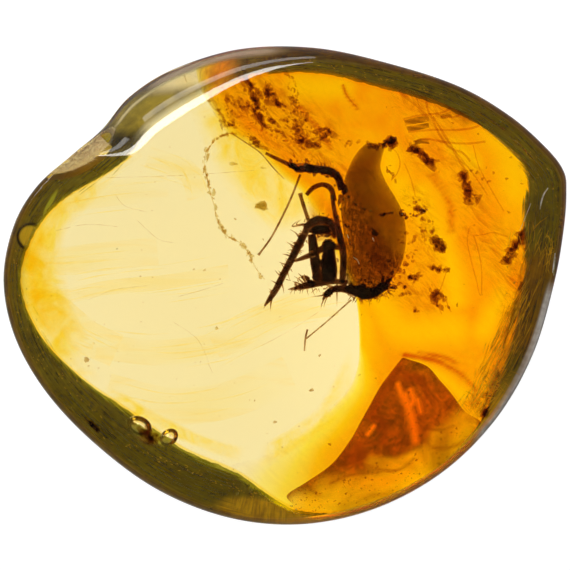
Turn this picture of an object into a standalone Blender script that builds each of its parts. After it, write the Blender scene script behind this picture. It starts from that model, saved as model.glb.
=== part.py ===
"""Polished amber pebble with a natural hollow in its side, as one solid resting on its ground underside.

Metres, +Z up. The origin is the centre of the resting face; +X runs along the pebble's length.
"""

import math

import bmesh
import bpy
import numpy as np
from mathutils import Matrix, Vector

MM = 0.001

# Driving dimensions, in millimetres.
LENGTH = 40.0
THICKNESS = 12.5
TOP_CROWN = 1.2  # how far the dome falls from its middle to its shoulder
UNDER_RISE = 0.5  # how far the underside lifts from the resting face to its bevel
REST_SHARE = 0.52  # the resting face's size, as a share of the outline
SHOULDER_BASE = 0.8  # a shoulder's height is this,
SHOULDER_GROWTH = 1.5  # and this much more for each millimetre of its width
SHOULDER_POWER = 2.1  # 2 is an elliptic shoulder, more is squarer
BEVEL_POWER = 1.4  # 1 is a flat bevel under the side, 2 an elliptic one
BELLY = 0.12  # how far the side swells between its shoulder and its bevel

# The outline, anticlockwise from the right-hand corner. Each station gives its place along the length
# and across it, the width of the rounded shoulder above the side, and the width and height of the
# bevel below it. The side between them swells a little.
STATIONS = (
    (20.0, 6.6, 0.5, 2.8, 4.8),
    (19.8, 8.1, 0.5, 2.3, 4.4),
    (18.6, 9.7, 0.5, 1.7, 3.4),
    (16.0, 12.0, 0.5, 1.7, 3.2),
    (12.4, 14.1, 0.5, 1.7, 3.2),
    (7.6, 15.7, 0.6, 1.7, 3.2),
    (2.2, 16.9, 1.2, 1.7, 3.2),
    (-3.2, 16.9, 2.5, 2.2, 3.8),
    (-8.0, 15.5, 3.5, 2.9, 4.6),
    (-11.2, 13.5, 3.6, 2.9, 5.0),
    (-13.2, 11.1, 3.0, 2.8, 5.0),
    (-15.4, 9.1, 0.5, 2.6, 4.6),
    (-17.8, 6.9, 0.4, 2.1, 3.8),
    (-19.4, 4.1, 0.4, 1.5, 3.0),
    (-20.1, 0.3, 0.4, 1.1, 2.4),
    (-19.3, -3.7, 0.4, 1.6, 3.0),
    (-17.1, -7.6, 0.4, 2.5, 4.4),
    (-13.6, -11.3, 0.4, 3.2, 5.4),
    (-9.1, -14.6, 0.4, 3.2, 5.4),
    (-4.0, -16.6, 0.4, 2.9, 5.0),
    (1.2, -17.1, 0.6, 0.8, 1.4),
    (6.4, -16.0, 0.6, 0.6, 1.0),
    (11.2, -13.4, 0.6, 0.6, 1.0),
    (15.0, -9.6, 0.6, 0.8, 1.6),
    (17.6, -5.0, 0.5, 1.3, 2.6),
    (19.1, 0.0, 0.4, 1.7, 3.2),
    (19.8, 3.9, 0.4, 2.3, 4.2),
)

# The hollow: an ellipsoid scooped out of the shoulder at the far left corner.
HOLLOW_CENTRE = (-16.5, 12.7, 10.9)
HOLLOW_RADII = (4.9, 4.9, 4.6)

# How finely the solid is cut into faces.
STEPS_BETWEEN_STATIONS = 4
CROWN_RINGS = 6
SHOULDER_RINGS = 7
WALL_RINGS = 4
BEVEL_RINGS = 8
UNDER_RINGS = 4

AMBER_COLOUR = (0.93, 0.62, 0.12, 1.0)


def clear_scene():
    for thing in list(bpy.data.objects):
        bpy.data.objects.remove(thing)


def rim_curve():
    """Every column's station, on a closed Catmull-Rom curve through STATIONS, centred and at full length."""
    points = np.array(STATIONS)
    before, after, next_after = (np.roll(points, shift, axis=0) for shift in (1, -1, -2))
    columns = []
    for t in np.arange(STEPS_BETWEEN_STATIONS) / STEPS_BETWEEN_STATIONS:
        columns.append(
            0.5
            * (
                2 * points
                + (after - before) * t
                + (2 * before - 5 * points + 4 * after - next_after) * t**2
                + (3 * points - before - 3 * after + next_after) * t**3
            )
        )
    rim = np.stack(columns, axis=1).reshape(-1, points.shape[1])
    low, high = rim[:, :2].min(axis=0), rim[:, :2].max(axis=0)
    rim[:, :2] -= (low + high) / 2
    rim[:, :2] *= LENGTH / (high - low)[0]
    return rim


def top_height(x, y):
    """The dome: a shallow paraboloid that is highest over the origin."""
    half = LENGTH / 2
    return THICKNESS - TOP_CROWN * (x * x + y * y) / half**2


def under_height(share):
    """The underside: flat out to REST_SHARE of the outline, then lifting gently."""
    past = max(0.0, share - REST_SHARE) / (1 - REST_SHARE)
    return UNDER_RISE * past**2


def ring_points(rim, kind, step):
    """One ring of the skin, as points. On a shoulder or bevel ring, step is its angle round the edge, 0
    at the flat side and a right angle at the wall; on the others it is a share of the way."""
    points = []
    for x, y, shoulder, bevel, bevel_top in rim:
        reach = math.hypot(x, y)
        shoulder_foot = top_height(x, y) - SHOULDER_BASE - SHOULDER_GROWTH * shoulder
        if kind == "wall":
            share = 1 - BELLY * (2 * step - 1) ** 2 / reach
            height = shoulder_foot + (bevel_top - shoulder_foot) * step
            points.append(Vector((x * share, y * share, height)) * MM)
            continue
        above = kind in ("crown", "shoulder")
        width, power, foot = (bevel, BEVEL_POWER, bevel_top)
        if above:
            width, power, foot = (shoulder, SHOULDER_POWER, shoulder_foot)
        share, upright = step * (1 - (BELLY + width) / reach), 1.0
        if kind in ("shoulder", "bevel"):
            outwards = math.sin(step) ** (2 / power)
            upright = max(math.cos(step), 0.0) ** (2 / power)
            share = 1 - (BELLY + width * (1 - outwards)) / reach
        flat = top_height(x * share, y * share) if above else under_height(share)
        points.append(Vector((x * share, y * share, foot + (flat - foot) * upright)) * MM)
    return points


def pebble_mesh():
    """Rings of the skin from the middle of the dome, over the shoulder and wall, to the resting face."""
    rim = rim_curve()
    quarter = math.pi / 2
    rings = [("crown", i / CROWN_RINGS) for i in range(1, CROWN_RINGS)]
    rings += [("shoulder", quarter * i / SHOULDER_RINGS) for i in range(SHOULDER_RINGS + 1)]
    rings += [("wall", i / WALL_RINGS) for i in range(1, WALL_RINGS)]
    rings += [("bevel", quarter * i / BEVEL_RINGS) for i in range(BEVEL_RINGS, -1, -1)]
    rings += [("under", i / UNDER_RINGS) for i in range(UNDER_RINGS - 1, 0, -1)]
    skin = bmesh.new()
    loops = [[skin.verts.new(point) for point in ring_points(rim, *ring)] for ring in rings]
    count = len(rim)
    for upper, lower in zip(loops, loops[1:], strict=False):
        for i in range(count):
            j = (i + 1) % count
            skin.faces.new((upper[i], lower[i], lower[j], upper[j]))
    top = skin.verts.new((0, 0, top_height(0, 0) * MM))
    base = skin.verts.new((0, 0, 0))
    for i in range(count):
        j = (i + 1) % count
        skin.faces.new((top, loops[0][i], loops[0][j]))
        skin.faces.new((base, loops[-1][j], loops[-1][i]))
    mesh = bpy.data.meshes.new("amber_stone")
    skin.to_mesh(mesh)
    skin.free()
    return mesh


def amber_material():
    material = bpy.data.materials.new("polished_amber")
    material.use_nodes = True
    surface = material.node_tree.nodes["Principled BSDF"]
    surface.inputs["Base Color"].default_value = AMBER_COLOUR
    surface.inputs["Roughness"].default_value = 0.05
    surface.inputs["Metallic"].default_value = 0.0
    surface.inputs["IOR"].default_value = 1.54
    surface.inputs["Transmission Weight"].default_value = 1.0
    return material


def hollow_cutter():
    """The ellipsoid that scoops out the hollow. It is a helper and not a piece."""
    ball = bmesh.new()
    bmesh.ops.create_icosphere(ball, subdivisions=4, radius=1.0)
    size = Matrix.Diagonal(Vector(HOLLOW_RADII) * MM).to_4x4()
    bmesh.ops.transform(ball, matrix=size, verts=ball.verts)
    mesh = bpy.data.meshes.new("hollow_cutter")
    ball.to_mesh(mesh)
    ball.free()
    cutter = bpy.data.objects.new("hollow_cutter", mesh)
    cutter.location = Vector(HOLLOW_CENTRE) * MM
    cutter.hide_render = True
    cutter.display_type = "WIRE"
    bpy.context.collection.objects.link(cutter)
    return cutter


def amber_stone():
    """The pebble, with the hollow cut from it."""
    stone = bpy.data.objects.new("amber_stone", pebble_mesh())
    bpy.context.collection.objects.link(stone)
    stone.data.materials.append(amber_material())
    hollow = stone.modifiers.new("hollow", "BOOLEAN")
    hollow.operation = "DIFFERENCE"
    hollow.solver = "EXACT"
    hollow.object = hollow_cutter()
    stone.data.shade_smooth()
    stone.data.set_sharp_from_angle(angle=math.radians(35))
    return stone


clear_scene()
amber_stone()
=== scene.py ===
"""Polished amber pebble with a spiny-legged insect, plant debris and air bubbles sealed in it.

Sizes are in millimetres and the scene is in metres. +Z is up and +X runs along the stone's length.
"""

import math

import bpy
import numpy as np
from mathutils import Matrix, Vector


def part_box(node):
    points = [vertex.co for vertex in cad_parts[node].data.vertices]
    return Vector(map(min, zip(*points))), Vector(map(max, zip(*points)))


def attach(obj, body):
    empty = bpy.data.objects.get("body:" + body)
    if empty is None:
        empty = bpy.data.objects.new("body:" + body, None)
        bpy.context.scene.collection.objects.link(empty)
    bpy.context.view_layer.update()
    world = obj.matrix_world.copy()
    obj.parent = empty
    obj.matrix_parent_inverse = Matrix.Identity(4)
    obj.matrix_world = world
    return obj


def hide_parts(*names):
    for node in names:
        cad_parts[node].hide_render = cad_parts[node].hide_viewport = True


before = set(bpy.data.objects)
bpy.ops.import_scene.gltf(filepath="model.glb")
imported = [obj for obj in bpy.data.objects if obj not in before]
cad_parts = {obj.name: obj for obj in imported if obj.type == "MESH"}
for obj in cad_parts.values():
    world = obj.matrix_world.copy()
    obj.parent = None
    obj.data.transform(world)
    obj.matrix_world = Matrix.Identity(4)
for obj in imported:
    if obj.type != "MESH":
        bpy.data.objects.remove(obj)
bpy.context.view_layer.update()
MM = 0.001

# ------------------------------------------------------------------------------------------------
# The view. A long lens looks straight down on the stone as it lies on its flat side, with its
# length across the view and its hollow at the far left.

LENS = 300
SENSOR = 36
NEAREST, FURTHEST = 0.01, 20  # that the lens sees, in metres
STONE_SHARE = 0.9825  # of the view's width

low, high = (np.array(corner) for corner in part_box("amber_stone"))
middle = (low + high) / 2
camera = bpy.data.objects.new("camera", bpy.data.cameras.new("camera"))
bpy.context.collection.objects.link(camera)
bpy.context.scene.camera = camera
camera.data.lens = LENS
camera.data.sensor_width = SENSOR
camera.data.clip_start = NEAREST
camera.data.clip_end = FURTHEST
camera.location = middle + np.array([0, 0, (high - low)[0] / STONE_SHARE * LENS / SENSOR])

# ------------------------------------------------------------------------------------------------
# The stage. A white sheet on a light table, bright only under the stone, so that the stone's ground
# edges bend the view out to the dim room and look dark. A soft window-like lamp and a low strip lamp
# stand at the far left, and a pale room shows behind.

FLOOR_SIDE = 1200
FLOOR_DROP = 0.05  # below the resting face
LIT_INNER, LIT_OUTER = 17.8, 19.8  # where the sheet's glow starts and stops falling, along the length
LIT_SQUEEZE = 20 / 17  # across the stone the glow is this much shorter
NEAR_CORNER = (8.0, -12.0, 13.0, 9.0, 35.0)  # two corners glow further out: centre, half sizes, turn
FAR_CORNER = (14.0, 6.5, 6.5, 6.5, 0.0)
SHEET_GLOW = 0.98  # under the stone
DIM_GLOW = 0.06  # round it
SEEN_GLOW = 1.0  # as the camera sees the sheet itself
RIGHT_SIDE = (10, 0, 16, 22)
RIGHT_BOOST = 0.14  # how much brighter the sheet is there
ROOM = 0.2
CEILING = 0.02
SEEN_ROOM = 0.9
LIGHT_BOUNCES = 32  # through the stone and what is sealed in it
WINDOW_PLACE, WINDOW_SIZE, WINDOW_POWER = (-0.1142, 0.1757, 0.2964), (0.21, 0.164), 1.2
STRIP_PLACE, STRIP_SIZE, STRIP_POWER = (-0.16, 0.42, 0.06), (0.34, 0.15), 0.5


class Signal:
    """One socket of a material. Arithmetic on it adds Math nodes, and node() adds any other node."""

    def __init__(self, tree, socket=None):
        """A socket of a node tree, or with no socket just the tree to add nodes to."""
        self.tree = tree
        self.socket = socket

    def feed(self, node, inputs):
        """Sets or links a node's sockets, by name or number."""
        for name, value in inputs.items():
            if isinstance(value, Signal):
                self.tree.links.new(value.socket, node.inputs[name])
            else:
                node.inputs[name].default_value = value

    def node(self, kind, settings, inputs, output=0):
        """Adds a node of this type: its settings first, then its inputs. Gives the named output."""
        made = self.tree.nodes.new("ShaderNode" + kind)
        for name, value in settings.items():
            if name != "stops":
                setattr(made, name, value)
        for stop, (place, colour) in enumerate(settings.get("stops", ())):
            elements = made.color_ramp.elements
            element = elements[stop] if stop < 2 else elements.new(place)
            element.position = place
            element.color = colour
        self.feed(made, inputs)
        return Signal(self.tree, made.outputs[output])

    def math(self, operation, *values):
        """A Math node's operation on numbers or signals."""
        return self.node("Math", {"operation": operation}, dict(enumerate(values)))

    def __add__(self, other):
        return self.math("ADD", self, other)

    def __sub__(self, other):
        return self.math("SUBTRACT", self, other)

    def __rsub__(self, other):
        return self.math("SUBTRACT", other, self)

    def __mul__(self, other):
        return self.math("MULTIPLY", self, other)

    __radd__ = __add__
    __rmul__ = __mul__

    def most(self, other):
        """The larger of the two."""
        return self.math("MAXIMUM", self, other)

    def attribute(self, name):
        """The number that mark() gave each point under this name."""
        return self.node("Attribute", {"attribute_name": name}, {}, "Fac")

    def span(self, start, stop):
        """0 below start, 1 above stop and a smooth step between, or falling if start is the higher."""
        ends = {"From Min": start, "From Max": stop}
        return self.node("MapRange", {"interpolation_type": "SMOOTHSTEP"}, {"Value": self, **ends})

    def mix(self, first, second):
        """The first colour where this signal is 0, the second where it is 1."""
        return self.node("Mix", {"data_type": "RGBA"}, {0: self, 6: first, 7: second}, 2)

    def tint(self, other):
        """This colour times the other."""
        settings = {"data_type": "RGBA", "blend_type": "MULTIPLY"}
        return self.node("Mix", settings, {0: 1.0, 6: self, 7: other}, 2)

    def mapped(self, **values):
        """These coordinates moved, turned and scaled."""
        return self.node("Mapping", {}, {"Vector": self, **values})

    def noise(self, scale, detail=3.0, roughness=0.5, distortion=0.0):
        """Noise on these coordinates, scale in features a metre."""
        values = {"Scale": scale, "Detail": detail, "Roughness": roughness, "Distortion": distortion}
        return self.node("TexNoise", {}, {"Vector": self, **values})

    def spot(self, x, y, radius_x, radius_y, turn=0.0):
        """1 at a place in plan and 0 from an ellipse round it outwards, whatever the height."""
        here = self.mapped(Location=(-x * MM, -y * MM, 0))
        here = here.mapped(Rotation=(0, 0, -math.radians(turn)))
        here = here.mapped(Scale=(1 / radius_x / MM, 1 / radius_y / MM, 0))
        return self.node("VectorMath", {"operation": "LENGTH"}, {0: here}, "Value").span(1, 0)


def new_paint(name, plain, soak=None):
    """A material with plain values on its Principled shader, and if soak is given an absorption colour
    and density inside it. Returns the material and its Object coordinates."""
    material = bpy.data.materials.new(name)
    material.use_nodes = True
    ink = Signal(material.node_tree)
    ink.feed(material.node_tree.nodes["Principled BSDF"], plain)
    if soak:
        colour, density = soak
        inside = ink.node("VolumeAbsorption", {}, {"Color": (*colour, 1), "Density": density})
        ink.feed(material.node_tree.nodes["Material Output"], {"Volume": inside})
    return material, ink.node("TexCoord", {}, {}, "Object")


def vary(material, place, **varied):
    """Links what varies over the surface to the material's Principled shader."""
    place.feed(material.node_tree.nodes["Principled BSDF"], varied)


corners = np.array([[-1, -1, 0], [1, -1, 0], [1, 1, 0], [-1, 1, 0]]) * FLOOR_SIDE / 2
corners[:, 2] = -FLOOR_DROP
floor_mesh = bpy.data.meshes.new("floor")
floor_mesh.from_pydata((corners * MM).tolist(), [], [(0, 1, 2, 3)])
floor = bpy.data.objects.new("floor", floor_mesh)
bpy.context.collection.objects.link(floor)

floor_plain = {"Base Color": (0.08, 0.08, 0.08, 1), "Roughness": 0.9, "Emission Strength": 1.0}
floor_paint, place = new_paint("white_sheet", floor_plain)
squeezed = place.mapped(Scale=(1 / MM, LIT_SQUEEZE / MM, 0))
from_middle = place.node("VectorMath", {"operation": "LENGTH"}, {0: squeezed}, "Value")
lit_corners = place.spot(*NEAR_CORNER).most(place.spot(*FAR_CORNER))
lit_share = from_middle.span(LIT_OUTER, LIT_INNER).most(lit_corners.span(0, 0.2))
brighter = 1.0 + RIGHT_BOOST * place.spot(*RIGHT_SIDE)
lit = (lit_share * (SHEET_GLOW - DIM_GLOW) + DIM_GLOW) * brighter
seen = place.node("LightPath", {}, {}, "Is Camera Ray")
vary(floor_paint, place, **{"Emission Color": (seen * SEEN_GLOW).most(lit)})
floor.data.materials.append(floor_paint)

scene = bpy.context.scene
scene.view_settings.view_transform = "Standard"
scene.cycles.max_bounces = LIGHT_BOUNCES
scene.cycles.transmission_bounces = LIGHT_BOUNCES
scene.cycles.transparent_max_bounces = LIGHT_BOUNCES

world = bpy.data.worlds.new("room")
scene.world = world
world.use_nodes = True
sky = Signal(world.node_tree)
seen = sky.node("LightPath", {}, {}, "Is Camera Ray")
up = sky.node("SeparateXYZ", {}, {0: sky.node("TexCoord", {}, {}, "Generated")}, 2)
walls = up.span(0.97, 0.9).mix((CEILING, CEILING, CEILING, 1), (ROOM, ROOM, ROOM, 1))
seen_walls = seen.mix(walls, (SEEN_ROOM, SEEN_ROOM, SEEN_ROOM, 1))
sky.feed(world.node_tree.nodes["Background"], {"Color": seen_walls})


def add_lamp(name, place, size, power):
    """A rectangular soft lamp that faces the stone."""
    light = bpy.data.lights.new(name, "AREA")
    light.shape = "RECTANGLE"
    light.size, light.size_y = size
    light.energy = power
    lamp = bpy.data.objects.new(name, light)
    bpy.context.collection.objects.link(lamp)
    lamp.location = place
    lamp.rotation_euler = (-Vector(place)).to_track_quat("-Z", "Y").to_euler()


add_lamp("window_lamp", WINDOW_PLACE, WINDOW_SIZE, WINDOW_POWER)
add_lamp("strip_lamp", STRIP_PLACE, STRIP_SIZE, STRIP_POWER)

# ------------------------------------------------------------------------------------------------
# The stone. One piece of clear honey-coloured resin, ground and polished by hand to a flat pebble
# with a low dome, a rounded shoulder, a bevel below, and an old hollow left at the far left.

THICKNESS = 12.5
HALF_LENGTH = 20.0
TOP_CROWN = 1.2  # how far the dome falls from its middle to its shoulder
UNDER_RISE = 0.5  # how far the underside lifts from the resting face to its bevel
REST_SHARE = 0.52  # the resting face's size, as a share of the outline
SHOULDER_BASE = 0.8  # a shoulder's height is this,
SHOULDER_GROWTH = 1.5  # and this much more for each millimetre of its width
SHOULDER_POWER = 2.1  # 2 is an elliptic shoulder, more is squarer
BEVEL_POWER = 1.4  # 1 is a flat bevel, 2 an elliptic one
BELLY = 0.12  # how far the side swells between its shoulder and its bevel
HOLLOW_CENTRE = np.array([-16.5, 12.7, 10.9])
HOLLOW_RADII = np.array([4.9, 4.9, 4.6])
HOLLOW_INWARD = np.array([0.70, -0.70, 0.12])
COLUMNS_A_STATION = 16
DOME_RINGS, EDGE_RINGS, SIDE_RINGS = 48, 40, 18
INNERMOST_RING = 0.99  # of the way from the dome's edge to its middle
RING_CROWDING = 1.5  # above 1, the dome's rings crowd towards its edge
EDGE_FROM, EDGE_FULL = 14, 32  # degrees of slope between which the shoulder's brown skin and painted shade set in
SIDE_STAIN_AND_SHADE = 0.25  # how much of that skin is left on the side,
SIDE_FADE = 0.55  # once it has faded over this share of the way down
GLINT_SLOPE, GLINT_SPREAD = 66, 2.5  # degrees at which a painted highlight line runs along the wide shoulder
WIDE_SHOULDER = 2.2
GROUND_SIDE = 0.3  # how rough the side is, as a share of the ground bevel's roughness
LEAST_GRINDING = 0.3  # a bevel whose grinding reaches in less than this is part polished
GROUND_ROUGHNESS = 0.32
HOLLOW_ROUGHNESS = 0.5
SCRATCH_DEPTH = 0.06
# Zones of the skin, each an ellipse in plan: centre, half sizes and turn in degrees.
SHADED_SHOULDER = (-9.5, 13.5, 7.5, 4.5, 30)
SHEEN_SHOULDER = (-5.2, 15.7, 7.0, 1.9, 16)
PAINTED_GLINT_ZONE = (-9, 14.5, 6, 6)
GOLDEN_EDGE = (9, -15, 14, 9, 35)
WHITISH_RIM = (16.9, -5.6, 8.2, 2.6, 62)
RUSTY_BEVEL = (17.5, -4.0, 6.5, 9, -25)
GOLDEN_PATCH = (-1.8, -16.0, 3.6, 1.3, -8)
YELLOW_LENS = (-16.7, 5.7, 1.7, 0.3, 57)
AMBER_IOR = 1.54
AMBER_SOAK = (0.995, 0.81, 0.03), 80  # the colour the resin lets through, and how fast it soaks up the rest
# Each station of the outline, anticlockwise from the right-hand corner: its place along the length
# and across it, its shoulder's width, its bevel's width and height, and how far the rough grinding
# reaches in beyond the bevel.
STATIONS = (
    (20.0, 6.6, 0.5, 2.8, 4.8, 0.4),
    (19.8, 8.1, 0.5, 2.3, 4.4, 0.4),
    (18.6, 9.7, 0.5, 1.7, 3.4, 0.5),
    (16.0, 12.0, 0.5, 1.7, 3.2, 0.5),
    (12.4, 14.1, 0.5, 1.7, 3.2, 0.6),
    (7.6, 15.7, 0.6, 1.7, 3.2, 0.5),
    (2.2, 16.9, 1.2, 1.7, 3.2, 0.4),
    (-3.2, 16.9, 2.5, 2.2, 3.8, 0.3),
    (-8.0, 15.5, 3.5, 2.9, 4.6, 0.2),
    (-11.2, 13.5, 3.6, 2.9, 5.0, 0.3),
    (-13.2, 11.1, 3.0, 2.8, 5.0, 0.3),
    (-15.4, 9.1, 0.5, 2.6, 4.6, 0.3),
    (-17.8, 6.9, 0.4, 2.1, 3.8, 0.3),
    (-19.4, 4.1, 0.4, 1.5, 3.0, 0.4),
    (-20.1, 0.3, 0.4, 1.1, 2.4, 0.4),
    (-19.3, -3.7, 0.4, 1.6, 3.0, 0.4),
    (-17.1, -7.6, 0.4, 2.5, 4.4, 0.4),
    (-13.6, -11.3, 0.4, 3.2, 5.4, 0.5),
    (-9.1, -14.6, 0.4, 3.2, 5.4, 0.5),
    (-4.0, -16.6, 0.4, 2.9, 5.0, 0.6),
    (1.2, -17.1, 0.6, 0.8, 1.4, 0.5),
    (6.4, -16.0, 0.6, 0.6, 1.0, 0.0),
    (11.2, -13.4, 0.6, 0.6, 1.0, 0.0),
    (15.0, -9.6, 0.6, 0.8, 1.6, 0.5),
    (17.6, -5.0, 0.5, 1.3, 2.6, 2.2),
    (19.1, 0.0, 0.4, 1.7, 3.2, 2.0),
    (19.8, 3.9, 0.4, 2.3, 4.2, 1.0),
)


def smooth(points, steps, closed=False):
    """A Catmull-Rom curve: between two points, the cubic set by them and the two beyond them."""
    points = np.asarray(points, float)
    if closed:
        padded = np.concatenate([points[-1:], points, points[:2]])
    else:
        ends = 2 * points[[0, -1]] - points[[1, -2]]
        padded = np.concatenate([ends[:1], points, ends[1:]])
    before, here, after, beyond = (padded[i : len(padded) - 3 + i] for i in range(4))
    t = (np.arange(steps) / steps)[:, None, None]
    curve = 0.5 * (
        2 * here
        + (after - before) * t
        + (2 * before - 5 * here + 4 * after - beyond) * t**2
        + (3 * here - before - 3 * after + beyond) * t**3
    )
    curve = curve.transpose(1, 0, 2).reshape(-1, points.shape[1])
    return curve if closed else np.concatenate([curve, points[-1:]])


rim = smooth(STATIONS, COLUMNS_A_STATION, closed=True)
rim_low, rim_high = rim[:, :2].min(axis=0), rim[:, :2].max(axis=0)
rim[:, :2] -= (rim_low + rim_high) / 2
rim[:, :2] *= 2 * HALF_LENGTH / (rim_high - rim_low)[0]


def top_height(x, y):
    """The dome: a shallow paraboloid, highest over the origin."""
    return THICKNESS - TOP_CROWN * (x * x + y * y) / HALF_LENGTH**2


def under_height(share):
    """The underside: flat out to the resting face's edge, then lifting as a parabola."""
    return UNDER_RISE * (np.clip(share - REST_SHARE, 0, None) / (1 - REST_SHARE)) ** 2


def superellipse(angle, power):
    """How far out and how far up a point of the quarter curve out**power + up**power = 1 lies."""
    return np.sin(angle) ** (2 / power), np.clip(np.cos(angle), 0, 1) ** (2 / power)


dome_shares = 1 - np.linspace(INNERMOST_RING, 0, DOME_RINGS, endpoint=False)[:, None] ** RING_CROWDING
edge_angle = np.linspace(0, math.pi / 2, EDGE_RINGS)[:, None]
down_side = np.linspace(0, 1, SIDE_RINGS)[1:-1, None]


def stone_rings():
    """Rings of the skin, from the middle of the dome to the middle of the resting face. Each ring is the
    outline drawn in by a share of its reach, and the heights follow the dome, the shoulder's
    superellipse, the swelling side, the bevel's superellipse and the underside."""
    x, y, shoulder, bevel, bevel_top, _ = rim.T
    reach = np.hypot(x, y)
    shoulder_foot = top_height(x, y) - SHOULDER_BASE - SHOULDER_GROWTH * shoulder
    bands = []
    share = dome_shares * (1 - (BELLY + shoulder) / reach)
    bands.append((share, top_height(x * share, y * share)))
    out, up = superellipse(edge_angle, SHOULDER_POWER)
    share = 1 - (BELLY + shoulder * (1 - out)) / reach
    bands.append((share, shoulder_foot + (top_height(x * share, y * share) - shoulder_foot) * up))
    share = 1 - BELLY * (2 * down_side - 1) ** 2 / reach
    bands.append((share, shoulder_foot + (bevel_top - shoulder_foot) * down_side))
    out, up = superellipse(edge_angle[::-1], BEVEL_POWER)
    share = 1 - (BELLY + bevel * (1 - out)) / reach
    bands.append((share, bevel_top + (under_height(share) - bevel_top) * up))
    share = dome_shares[::-1] * (1 - (BELLY + bevel) / reach)
    bands.append((share, under_height(share)))
    return np.concatenate([np.stack(np.broadcast_arrays(x * s, y * s, z), axis=-1) for s, z in bands])


def edge_marks():
    """Three numbers from 0 to 1 for each point of those rings. The stain, brown skin that also stands in as
    painted shade for the dark the steep edge shows, rises with the shoulder's slope, fades down the side
    and again round the bevel. The glint is a painted highlight line at one slope of the wide shoulder.
    The grinding is full on the bevel, slight on the side, and fades inwards below."""
    x, y, shoulder, bevel, _, grinding = rim.T
    reach = np.hypot(x, y)
    none = 0 * dome_shares * x
    rise = SHOULDER_BASE + SHOULDER_GROWTH * shoulder
    slope = np.degrees(np.arctan2(rise * np.sin(edge_angle), shoulder * np.cos(edge_angle)))
    shoulder_stain_and_shade = np.clip((slope - EDGE_FROM) / (EDGE_FULL - EDGE_FROM), 0, 1)
    side_stain_and_shade = 1 - (1 - SIDE_STAIN_AND_SHADE) * np.clip(down_side / SIDE_FADE, 0, 1) + 0 * x
    bevel_stain_and_shade = SIDE_STAIN_AND_SHADE * np.degrees(edge_angle[::-1]) / 90 + 0 * x
    line = np.clip(1 - np.abs(slope - GLINT_SLOPE) / GLINT_SPREAD, 0, 1) * (shoulder > WIDE_SHOULDER)
    inwards = (1 - dome_shares[::-1]) * (reach - BELLY - bevel)
    fade = np.clip(1 - inwards / np.maximum(grinding, 0.01), 0, 1)
    stain_and_shade = (none, shoulder_stain_and_shade, side_stain_and_shade, bevel_stain_and_shade, none)
    painted_glint = (none, line, 0 * side_stain_and_shade, 0 * bevel_stain_and_shade, none)
    ground = (none, 0 * slope, 0 * side_stain_and_shade + GROUND_SIDE, 0 * bevel_stain_and_shade + 1, fade)
    ground_share = np.clip(grinding / LEAST_GRINDING, 0, 1)
    return np.concatenate(stain_and_shade), np.concatenate(painted_glint), np.concatenate(ground) * ground_share


def hollowed(rings):
    """The rings with each point inside the hollow's ellipsoid moved inwards along one direction until it
    lies on the ellipsoid, at the far root of its quadratic. Also which points those are."""
    heading = HOLLOW_INWARD / HOLLOW_RADII
    start = (rings - HOLLOW_CENTRE) / HOLLOW_RADII
    slope = start @ heading
    inside = (start * start).sum(-1) - 1
    root = np.sqrt(np.clip(slope**2 - heading @ heading * inside, 0, None))
    travel = np.where(inside < 0, (root - slope) / (heading @ heading), 0)
    return rings + travel[..., None] * HOLLOW_INWARD, inside < 0


def closed_grid(rings):
    """Points, quads and triangles of a closed skin over rings of columns: quads between the rings and a
    fan to the middle of each end ring. The faces are turned outwards if their volume is negative."""
    rows, columns = rings.shape[:2]
    index = np.arange(rows * columns).reshape(rows, columns)
    here, there = index, np.roll(index, -1, axis=1)
    quads = np.stack([here[:-1], here[1:], there[1:], there[:-1]], axis=-1).reshape(-1, 4)
    first, last = rows * columns, rows * columns + 1
    fans = np.concatenate(
        [
            np.stack([np.full(columns, first), here[0], there[0]], axis=-1),
            np.stack([np.full(columns, last), there[-1], here[-1]], axis=-1),
        ]
    )
    points = np.concatenate([rings.reshape(-1, 3), [rings[0].mean(axis=0), rings[-1].mean(axis=0)]])
    triangles = np.concatenate([quads[:, :3], quads[:, [0, 2, 3]], fans])
    a, b, c = (points[triangles[:, i]] - points[0] for i in range(3))
    if (np.cross(a, b) * c).sum() < 0:
        quads, fans = quads[:, ::-1], fans[:, ::-1]
    return points, quads, fans


def add_piece(name, skins, paint):
    """One piece made of closed skins, in millimetres, that rides with the stone."""
    counts = np.cumsum([0] + [len(points) for points, _, _ in skins])
    points = np.concatenate([points for points, _, _ in skins]) * MM
    quads = np.concatenate([quads + n for (_, quads, _), n in zip(skins, counts, strict=False)])
    fans = np.concatenate([fans + n for (_, _, fans), n in zip(skins, counts, strict=False)])
    mesh = bpy.data.meshes.new(name)
    mesh.vertices.add(len(points))
    mesh.vertices.foreach_set("co", points.ravel())
    corners = np.concatenate([quads.ravel(), fans.ravel()])
    mesh.loops.add(len(corners))
    mesh.loops.foreach_set("vertex_index", corners)
    starts = np.concatenate([np.arange(len(quads)) * 4, len(quads) * 4 + np.arange(len(fans)) * 3])
    mesh.polygons.add(len(starts))
    mesh.polygons.foreach_set("loop_start", starts)
    mesh.update(calc_edges=True)
    mesh.shade_smooth()
    mesh.materials.append(paint)
    piece = bpy.data.objects.new(name, mesh)
    bpy.context.collection.objects.link(piece)
    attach(piece, "root")
    return piece


def mark(piece, name, rings):
    """Gives each point of a piece of one skin a number that its material reads. Numbers come by ring and
    column, and the points that close the ends take the mean of their end ring."""
    values = np.concatenate([rings.ravel(), [rings[0].mean(), rings[-1].mean()]]).astype(np.float32)
    piece.data.attributes.new(name, "FLOAT", "POINT").data.foreach_set("value", values)


amber_plain = {"Roughness": 0.0, "IOR": AMBER_IOR, "Transmission Weight": 1.0}
amber_paint, place = new_paint("clear_amber", amber_plain, soak=AMBER_SOAK)
edge_mark = place.attribute("edge")
ground_mark = place.attribute("ground")
hollow_mark = place.attribute("hollow")
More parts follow.
